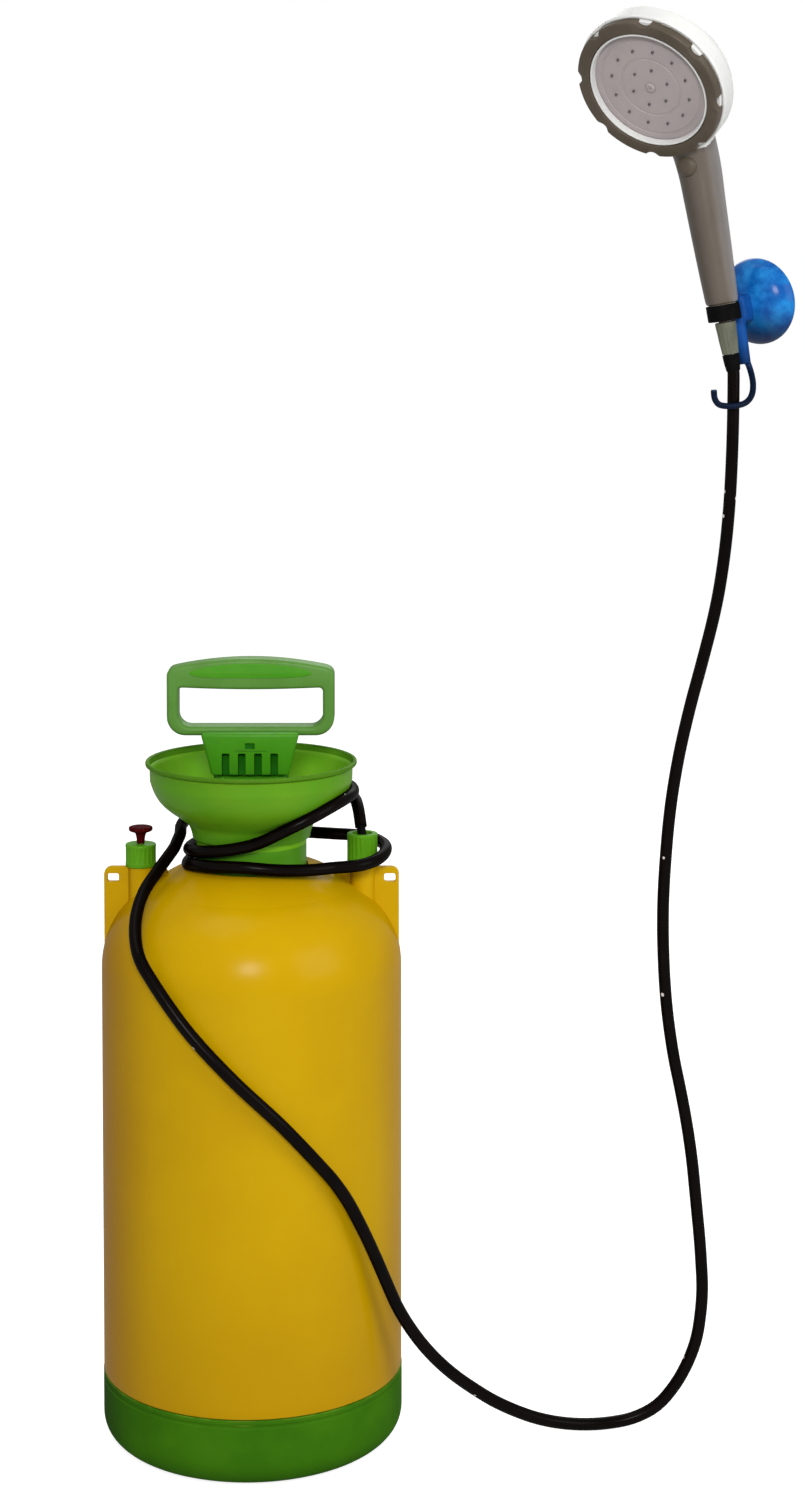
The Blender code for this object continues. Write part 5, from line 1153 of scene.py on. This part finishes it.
handset = {
    # Forward, height and radius.
    "grip": [(0.0, 0.0359, 0.0096), (0.0, 0.0369, 0.0105), (0.0, 0.0385, 0.0107), (0.0, 0.052, 0.0114),
             (0.0, 0.079, 0.0125), (0.0, 0.105, 0.0134), (0.0, 0.122, 0.0141), (-0.0020, 0.138, 0.0149),
             (-0.0060, 0.153, 0.0157), (-0.0135, 0.1655, 0.0162)],
    "gripPitch": 0.002, "radiusWeight": 4,
    "plug": [(0, 0.0399, 0), (0.0089, 0.0399, 0), (0.0089, 0.0249, 0.0006), (0.0043, 0.0249, 0.0003),
             (0.0043, 0.0124, 0.0004), (0.0024, 0.0124, 0), (0, 0.0144, 0)],
    "well": [(0.0446, -0.0118, 0), (0.0486, -0.0118, 0.0008), (0.0486, -0.0064, 0.0006),
             (0.0509, -0.0064, 0.0010), (0.0509, -0.0120, 0)],
    "back": [(0.0509, -0.0190), (0.0486, -0.0240), (0.0428, -0.0290), (0.0330, -0.0330), (0.0190, -0.0360),
             (0.0, -0.0370)],
    "grain": 0.00085, "passes": 5, "sharp": 50,
    "shell": (-0.041, 0.001, 0.054),               # foot, top and reach of the white shell on the head
    "gripReach": (0.137, 0.0155),                  # up to here the skin is grip
    "notches": 8, "notchRadius": 0.0052, "notchPlace": 0.0514,
    "notched": (0.0454, -0.0065),                  # inner radius and height from which the ring is notched
    "ring": [(0.0482, -0.0044, 0), (0.0494, -0.0046, 0.0002), (0.0494, -0.0059, 0.0003),
             (0.0480, -0.0059, 0.0003), (0.0480, -0.0104, 0.0004), (0.044, -0.0104, 0.0004),
             (0.041, -0.005, 0.0006), (0.041, 0.0, 0.0012), (0.0494, 0.0, 0.0022), (0.0494, -0.0042, 0)],
    # The white floor of the ring's notches.
    "inlay": [(0.0440, -0.0098, 0), (0.0440, -0.0040, 0), (0.0484, -0.0040, 0.0003), (0.0484, -0.0098, 0)],
    "rim": [(0.0406, -0.0046, 0.0004), (0.0406, -0.0006, 0.0005), (0.0394, -0.0006, 0.0005),
            (0.0390, -0.0024, 0.002), (0.0385, -0.0046, 0.0003), (0.0406, -0.0046, 0)],
    "plate": (0.0402, -0.0051, -0.0071),           # radius, front and back
    "plateEdge": 0.0002, "plateMiddle": 0.006,
    "plateGrooves": (0.0345, 0.0205),              # radii of the two round grooves
    "grooveShape": (0.0008, 0.0005, 0.0004),       # half width at the top and the bottom, and depth
    "nozzleRings": [(0.013, 6), (0.027, 12)],      # radius and count
    "nozzle": (0.0009, 0.0006, 0.0012, 0.0004, 0.0006),      # radius, sunk, rise, mouth and its floor
    "nozzleHole": 0.0013, "cutReach": 0.004,
    "bed": (0.0385, 0.0018, 0.0003),               # radius and the two faces, behind the plate's back
    "screwHole": 0.0022, "screwShank": 0.0018,
    "screwSlot": (0.0019, 0.00035, 0.0010, 0.003),      # half length, half width, floor and top
    # Radius, rise over the plate and corner.
    "screwHead": [(0.0034, 0.0003, 0.0002), (0.0034, 0.0010, 0.0005), (0.0026, 0.0016, 0.0004),
                  (0, 0.0016, 0)],
    # Radius, foot, length and height on the grip, and the outline in shares of radius and length.
    "button": (0.0072, 0.0119, 0.0095, 0.1275),
    "buttonShape": [(0, 0, 0), (1, 0, 0.0003), (1, 0.25, 0.0008), (0.9, 0.42, 0.001), (0.6, 0.56, 0.0016),
                    (0, 0.62, 0)],
    "buttonHole": (0.0076, 0.0098, 0.03),
}
buttonMatrix = shift(0, 0, handset["button"][3]) @ turn(90, "X")


def makeGrip():
    weight = handset["radiusWeight"]
    line = smoothRoute([Vector((y, z, r * weight)) for y, z, r in handset["grip"]], handset["gripPitch"])
    return sweepTube("grip", [(0, p.x, p.y) for p in line], 0, 40, [p.z / weight for p in line])


def makeHandset():
    core = lathe("plug", softCorners(handset["plug"], 3), 48)
    well = [(0, handset["well"][0][1])] + softCorners(handset["well"], 4)
    head = lathe("head", well + softLine(handset["back"], 0.002), 120)
    moveMesh(head, handsetMatrix.inverted() @ headMatrix)
    skin = joined("handsetSkin", [makeGrip(), head])
    meltTogether(skin, handset["grain"], handset["passes"])
    radius, near, far = handset["buttonHole"]
    carve(skin, [moveMesh(plug("buttonHole", radius, near, far, 64), buttonMatrix)])
    smoothShade(skin.data, handset["sharp"])
    skin.data.materials.append(finishes["gripGrey"])
    toHead = headMatrix.inverted() @ handsetMatrix
    gripTop = Vector((0,) + handset["grip"][-1][:2])
    low, high, reach = handset["shell"]
    gripHeight, gripReach = handset["gripReach"]

    def onShell(face):
        spot = toHead @ face.center
        onGrip = face.center.z < gripHeight
        onGrip = onGrip or ((face.center - gripTop).length < gripReach and face.center.y < gripTop.y)
        return low < spot.z < high and spot.xy.length < reach and not onGrip
    paintFaces(skin, "shellWhite", onShell)
    for piece in (skin, core):
        fit(moveMesh(piece, handsetMatrix), "gripGrey", "handset_grey", "handset", "handset_body")


def makeRing():
    pitch = 2 * math.pi / handset["notches"]
    place, hollow = handset["notchPlace"], handset["notchRadius"]
    inner, floor = handset["notched"]

    def notched(angle, radius, height):
        off = ((angle / pitch) % 1.0 - 0.5) * pitch
        across = place * math.sin(off)
        if radius < inner or height < floor or abs(across) >= hollow:
            return radius
        return min(radius, place * math.cos(off) - (hollow ** 2 - across ** 2) ** 0.5)
    ring = lathe("sprayRing", softCorners(handset["ring"], 5), 320, loop=True, ripple=notched)
    fit(moveMesh(ring, headMatrix), "ringOlive", "ring_dark", "ring", "spray_ring")
    inlay = lathe("ringInlay", softCorners(handset["inlay"], 2), 96, loop=True)
    fit(moveMesh(inlay, headMatrix), "shellWhite", "ring_dark", "ring")


def makePlate(spots):
    radius, front, back = handset["plate"]
    edge, reach = handset["plateEdge"], handset["cutReach"]
    wide, narrow, deep = handset["grooveShape"]
    profile = [(0, back), (radius, back), (radius, front - edge), (radius - edge, front)]
    for middle in handset["plateGrooves"]:
        profile += [(middle + wide, front), (middle + narrow, front - deep), (middle - narrow, front - deep),
                    (middle - wide, front)]
    plate = lathe("facePlate", profile + [(handset["plateMiddle"], front), (0, front)], 120)
    low, high = back - reach, front + reach
    cutters = [moveMesh(plug("hole", handset["nozzleHole"], low, high, 16), spot) for spot in spots]
    carve(plate, cutters + [plug("screwHole", handset["screwHole"], low, high, 24)])
    fit(moveMesh(plate, headMatrix), "faceMauve", "face_grey", "handset", "face_plate")


def makeNozzles(spots):
    front, back = handset["plate"][1:]
    r, sunk, rise, mouth, floor = handset["nozzle"]
    profile = softCorners([
        (0, back - sunk, 0), (r, back - sunk, 0), (r, front + rise, 0.0004), (mouth, front + rise, 0.0001),
        (mouth, front + floor, 0), (0, front + floor, 0)], 3)
    bed, low, high = handset["bed"]
    nubs = [plug("nozzleBed", bed, back - low, back - high, 64)]
    nubs += [moveMesh(lathe("nub", profile, 16), spot) for spot in spots]
    fit(moveMesh(joined("nozzles", nubs), headMatrix), "nozzleGrey", "rubber_black", "handset", "nozzle_mat")


def makeScrew():
    front, back = handset["plate"][1:]
    shank, head = handset["screwShank"], handset["screwHead"]
    outline = [(0, back, 0), (shank, back, 0), (shank, front + head[0][1], 0)]
    outline += [(r, front + rise, corner) for r, rise, corner in head]
    screw = lathe("faceScrew", softCorners(outline, 4), 48)
    long, short, floor, top = handset["screwSlot"]
    carve(screw, [softBox("slot", (-x, -y, front + floor), (x, y, front + top), 0.0001, 1)
                  for x, y in ((long, short), (short, long))])
    fit(moveMesh(screw, headMatrix), "faceMauve", "rod_steel", "handset", "face_screw")


def makeFace():
    rim = lathe("faceRim", softCorners(handset["rim"], 4)[1:], 160, loop=True)
    fit(moveMesh(rim, headMatrix), "shellWhite", "pump_white", "handset", "face_rim")
    spots = []
    for circle, count in handset["nozzleRings"]:
        for i in range(count):
            angle = 2 * math.pi * i / count
            spots.append(shift(circle * math.cos(angle), circle * math.sin(angle), 0))
    makePlate(spots)
    makeNozzles(spots)
    makeScrew()


def makeButton():
    radius, foot, length = handset["button"][:3]
    shape = [(radius * r, foot + length * h, corner) for r, h, corner in handset["buttonShape"]]
    button = moveMesh(lathe("stopButton", softCorners(shape, 4), 72), handsetMatrix @ buttonMatrix)
    fit(button, "ringOlive", "ring_dark", "button", "stop_button")


hoseNut = {
    "profile": [(0.0047, 0.008, 0), (0.0030, 0.008, 0.0002), (0.0030, 0.0030, 0.0002),
                (0.0054, 0.0030, 0.0006), (0.0056, 0.0060, 0), (0.0062, 0.0120, 0.002), (0.0064, 0.0168, 0),
                (0.0068, 0.0216, 0), (0.0068, 0.0240, 0.0006), (0.0047, 0.0240, 0.0003)],
    "ribs": (14, 0.0052, 0.0003, 0.004, 0.0215),      # count, radius, depth, foot and top
    "steps": 112,
    "sleeve": [(0.0041, -0.0082), (0.0045, -0.0080), (0.0052, -0.0030), (0.0056, 0.0026), (0.0041, 0.0028)],
}


def makeHoseNut():
    piece = lathe("hoseNut", softCorners(hoseNut["profile"], 4), hoseNut["steps"], loop=True,
                  ripple=fluted(*hoseNut["ribs"]))
    fit(moveMesh(piece, handsetMatrix), "nutCream", "handset_grey", "handset_collar", "handset_nut")
    sleeve = lathe("hoseSleeve", hoseNut["sleeve"], 48, loop=True)
    fit(moveMesh(sleeve, leanMatrix), "sealBlack", "rubber_black", "hose_end")


makeHandset()
makeRing()
makeFace()
makeButton()
makeHoseNut()
print("handset made")


# Suction-cup holder: strap, bracket with its hook, and the cup.

holder = {
    "strap": [(0.0094, 0.0303, 0), (0.0094, 0.0251, 0.0004), (0.0109, 0.0251, 0.0008),
              (0.0109, 0.0355, 0.0008), (0.0094, 0.0355, 0.0004)],
    "tail": (0.0100, 0.0153, 0.0025, 0.0303, 0.003),      # start, end, half width, middle and half height
    "tailEdge": 0.0006, "clearance": 0.0003,
    "bracket": (0.0118, 0.0250, 0.0075, 0.0215, 0.0395), "bracketEdge": 0.0032,
    "shank": [(0, -0.0055, 0), (0.0045, -0.0055, 0.0012), (0.0056, 0.0245, 0), (0, 0.0245, 0)],
    "shankPlace": 0.0135, "slotReach": 0.004, "slotEdge": 0.0002,
    "hook": [(0.0100, 0.0104, -0.0010), (0.0112, 0.0104, -0.0055), (0.0120, 0.0085, -0.0118),
             (0.0116, 0.0045, -0.0190), (0.0092, 0.0000, -0.0254), (0.0043, -0.0052, -0.0292),
             (-0.0022, -0.0090, -0.0300), (-0.0090, -0.0112, -0.0291), (-0.0142, -0.0124, -0.0270),
             (-0.0162, -0.0132, -0.0231), (-0.0160, -0.0138, -0.0170)],
    "hookPitch": 0.0012, "hookWire": 0.0021, "grain": 0.0006, "passes": 4,
    "cup": (0.0285, 0.0420, 0.0160), "cupWall": 0.0022, "cupLip": 0.0009, "cupSweep": 84, "cupSteps": 20,
    "cupInner": 0.0250, "cupEdges": (0.0003, 0.0004), "studFlare": 0.0012, "innerLip": 0.0008,
    # The stud has radius and length. Its foot has a step and a corner, its top a rise and a corner.
    "stud": (0.0055, 0.0085), "studFoot": (0.001, 0.0008), "studTop": (0.0002, 0.0002),
}


def makeStrap():
    ring = lathe("strapRing", softCorners(holder["strap"], 4), 96, loop=True)
    start, end, half, middle, tall = holder["tail"]
    low, high = (start, -half, middle - tall), (end, half, middle + tall)
    strap = moveMesh(joined("strap", [ring, softBox("tail", low, high, holder["tailEdge"])]), holderMatrix)
    fit(strap, "sealBlack", "rubber_black", "tank", "holder_strap")


def makeBracket():
    near, far, half, low, high = holder["bracket"]
    block = softBox("block", (near, -half, low), (far, half, high), holder["bracketEdge"], 5)
    shank = moveMesh(lathe("shank", softCorners(holder["shank"], 4), 48), shift(holder["shankPlace"], 0, 0))
    hook = sweepTube("hook", smoothRoute(holder["hook"], holder["hookPitch"]), holder["hookWire"], 20)
    moveMesh(hook, holderMatrix.inverted() @ leanMatrix)
    bracket = joined("bracket", [block, shank, hook])
    meltTogether(bracket, holder["grain"], holder["passes"])
    start, end, half, middle, tall = holder["tail"]
    gap = holder["clearance"]
    slot = softBox("strapSlot", (near - holder["slotReach"], -half - gap, middle - tall - gap),
                   (end + gap, half + gap, middle + tall + gap), holder["slotEdge"], 1)
    radius, face, depth = holder["cup"]
    studRadius, studLength = holder["stud"]
    socket = plug("socket", studRadius + gap, face - depth - studLength - gap, face, 48)
    carve(bracket, [slot, moveMesh(socket, holderMatrix.inverted() @ cupMatrix)])
    fit(moveMesh(bracket, holderMatrix), "hookBlue", "holder_blue", "tank", "holder_bracket")


def cupSide(reach, foot, rise):
    # The cup's curve from its middle out to its rim.
    sweep = math.radians(holder["cupSweep"])
    wide, high = reach / math.sin(sweep), rise / (1 - math.cos(sweep))
    return arc(0, foot + high, wide, -high, 0, holder["cupSweep"], holder["cupSteps"])


def makeCup():
    radius, face, depth = holder["cup"]
    studRadius, studLength = holder["stud"]
    inner, wall = holder["cupInner"], holder["cupWall"]
    apex = face - depth
    foot = apex - studLength
    step, footCorner = holder["studFoot"]
    rise, topCorner = holder["studTop"]
    profile = [(0.0, foot)] + softCorners([(studRadius - step, foot, 0), (studRadius, foot, footCorner),
                                           (studRadius, apex + rise, topCorner)], 3)
    outside = cupSide(radius, apex, depth - holder["cupLip"])
    profile += [(r, h) for r, h in outside if r > studRadius + holder["studFlare"]]
    edge, innerEdge = holder["cupEdges"]
    profile += [(radius, face - edge), (radius - edge, face), (inner + innerEdge, face), (inner, face - edge)]
    inside = cupSide(inner, apex + wall, depth - wall - holder["innerLip"])
    profile += inside[1:-1][::-1] + [(0.0, apex + wall)]
    cup = moveMesh(lathe("suctionCup", profile, 112), cupMatrix)
    fit(cup, "holderBlue", "holder_blue", "tank", "suction_cup")


makeStrap()
makeBracket()
makeCup()
print("holder made")


# Solids whose own shape stays take a finish.

keptSolids = {
    "sealBlack": ["funnel_gasket", "pump_seal", "foot_valve_disc", "piston_seal", "relief_seal",
                  "outlet_washer", "hose_washer", "outlet_body"],
    "pumpWhite": ["pump_barrel", "valve_seat", "rod_guide", "piston", "relief_stem", "dip_tube", "strainer"],
    "rodSteel": ["piston_rod", "piston_nut", "handle_pin", "hose_ferrule"],
}
for look, names in keptSolids.items():
    for name in names:
        for slot in nodes[name].material_slots:
            slot.material = finishes[look]
print("kept solids finished")


# Floor, lamps and background.

studio = {
    "floorHalf": 4.0, "floorHeight": -0.0004, "floorShade": 0.50, "floorRoughness": 0.9, "floorGloss": 0.1,
    "floorGlow": 0.83, "ambient": 0.34,
    # Name, place, aim, size and power.
    "lamps": [
        ("frontLamp", (0.06, -2.35, 1.42), (0.04, 0.0, 0.34), 0.55, 36.0),
        ("rightLamp", (1.7, -1.1, 1.2), (0.1, 0.0, 0.45), 1.2, 16.0),
        ("backLamp", (0.4, 1.9, 1.6), (0.05, 0.0, 0.4), 1.4, 24.0),
        ("topLamp", (-0.5, -0.3, 2.3), (0.0, 0.0, 0.4), 1.0, 7.0),
    ],
}


def seenDirectly(tree):
    # 1 for rays that should meet the white background: camera, glossy and transmission.
    path = tree.nodes.new("ShaderNodeLightPath").outputs
    seen = maths(tree, "MAXIMUM", path["Is Camera Ray"], path["Is Glossy Ray"])
    return maths(tree, "MAXIMUM", seen, path["Is Transmission Ray"])


def makeFloor():
    half, height, shade = studio["floorHalf"], studio["floorHeight"], studio["floorShade"]
    corners = [(-half, -half, height), (half, -half, height), (half, half, height), (-half, half, height)]
    floor = meshObject("floor", corners, [[0, 1, 2, 3]])
    mat = bpy.data.materials.new("paleFloor")
    mat.use_nodes = True
    tree = mat.node_tree
    shader = tree.nodes["Principled BSDF"].inputs
    shader["Base Color"].default_value = (shade, shade, shade, 1)
    shader["Roughness"].default_value = studio["floorRoughness"]
    shader["Specular IOR Level"].default_value = studio["floorGloss"]
    shader["Emission Color"].default_value = (1, 1, 1, 1)
    glow = maths(tree, "MULTIPLY", seenDirectly(tree), studio["floorGlow"])
    tree.links.new(glow, shader["Emission Strength"])
    floor.data.materials.append(mat)


def makeStudio():
    makeFloor()
    world = bpy.data.worlds.new("studio")
    bpy.context.scene.world = world
    world.use_nodes = True
    tree = world.node_tree
    background = tree.nodes["Background"].inputs
    background["Color"].default_value = (1, 1, 1, 1)
    extra = maths(tree, "MULTIPLY", seenDirectly(tree), 1.0 - studio["ambient"])
    tree.links.new(maths(tree, "ADD", extra, studio["ambient"]), background["Strength"])
    for name, place, aim, size, power in studio["lamps"]:
        lamp = bpy.data.lights.new(name, "AREA")
        lamp.size = size
        lamp.energy = power
        stand = addObject(name, lamp)
        stand.location = place
        stand.rotation_euler = (Vector(aim) - Vector(place)).to_track_quat("-Z", "Y").to_euler()


makeStudio()
bpy.context.scene.view_settings.view_transform = "Standard"
print("studio made")
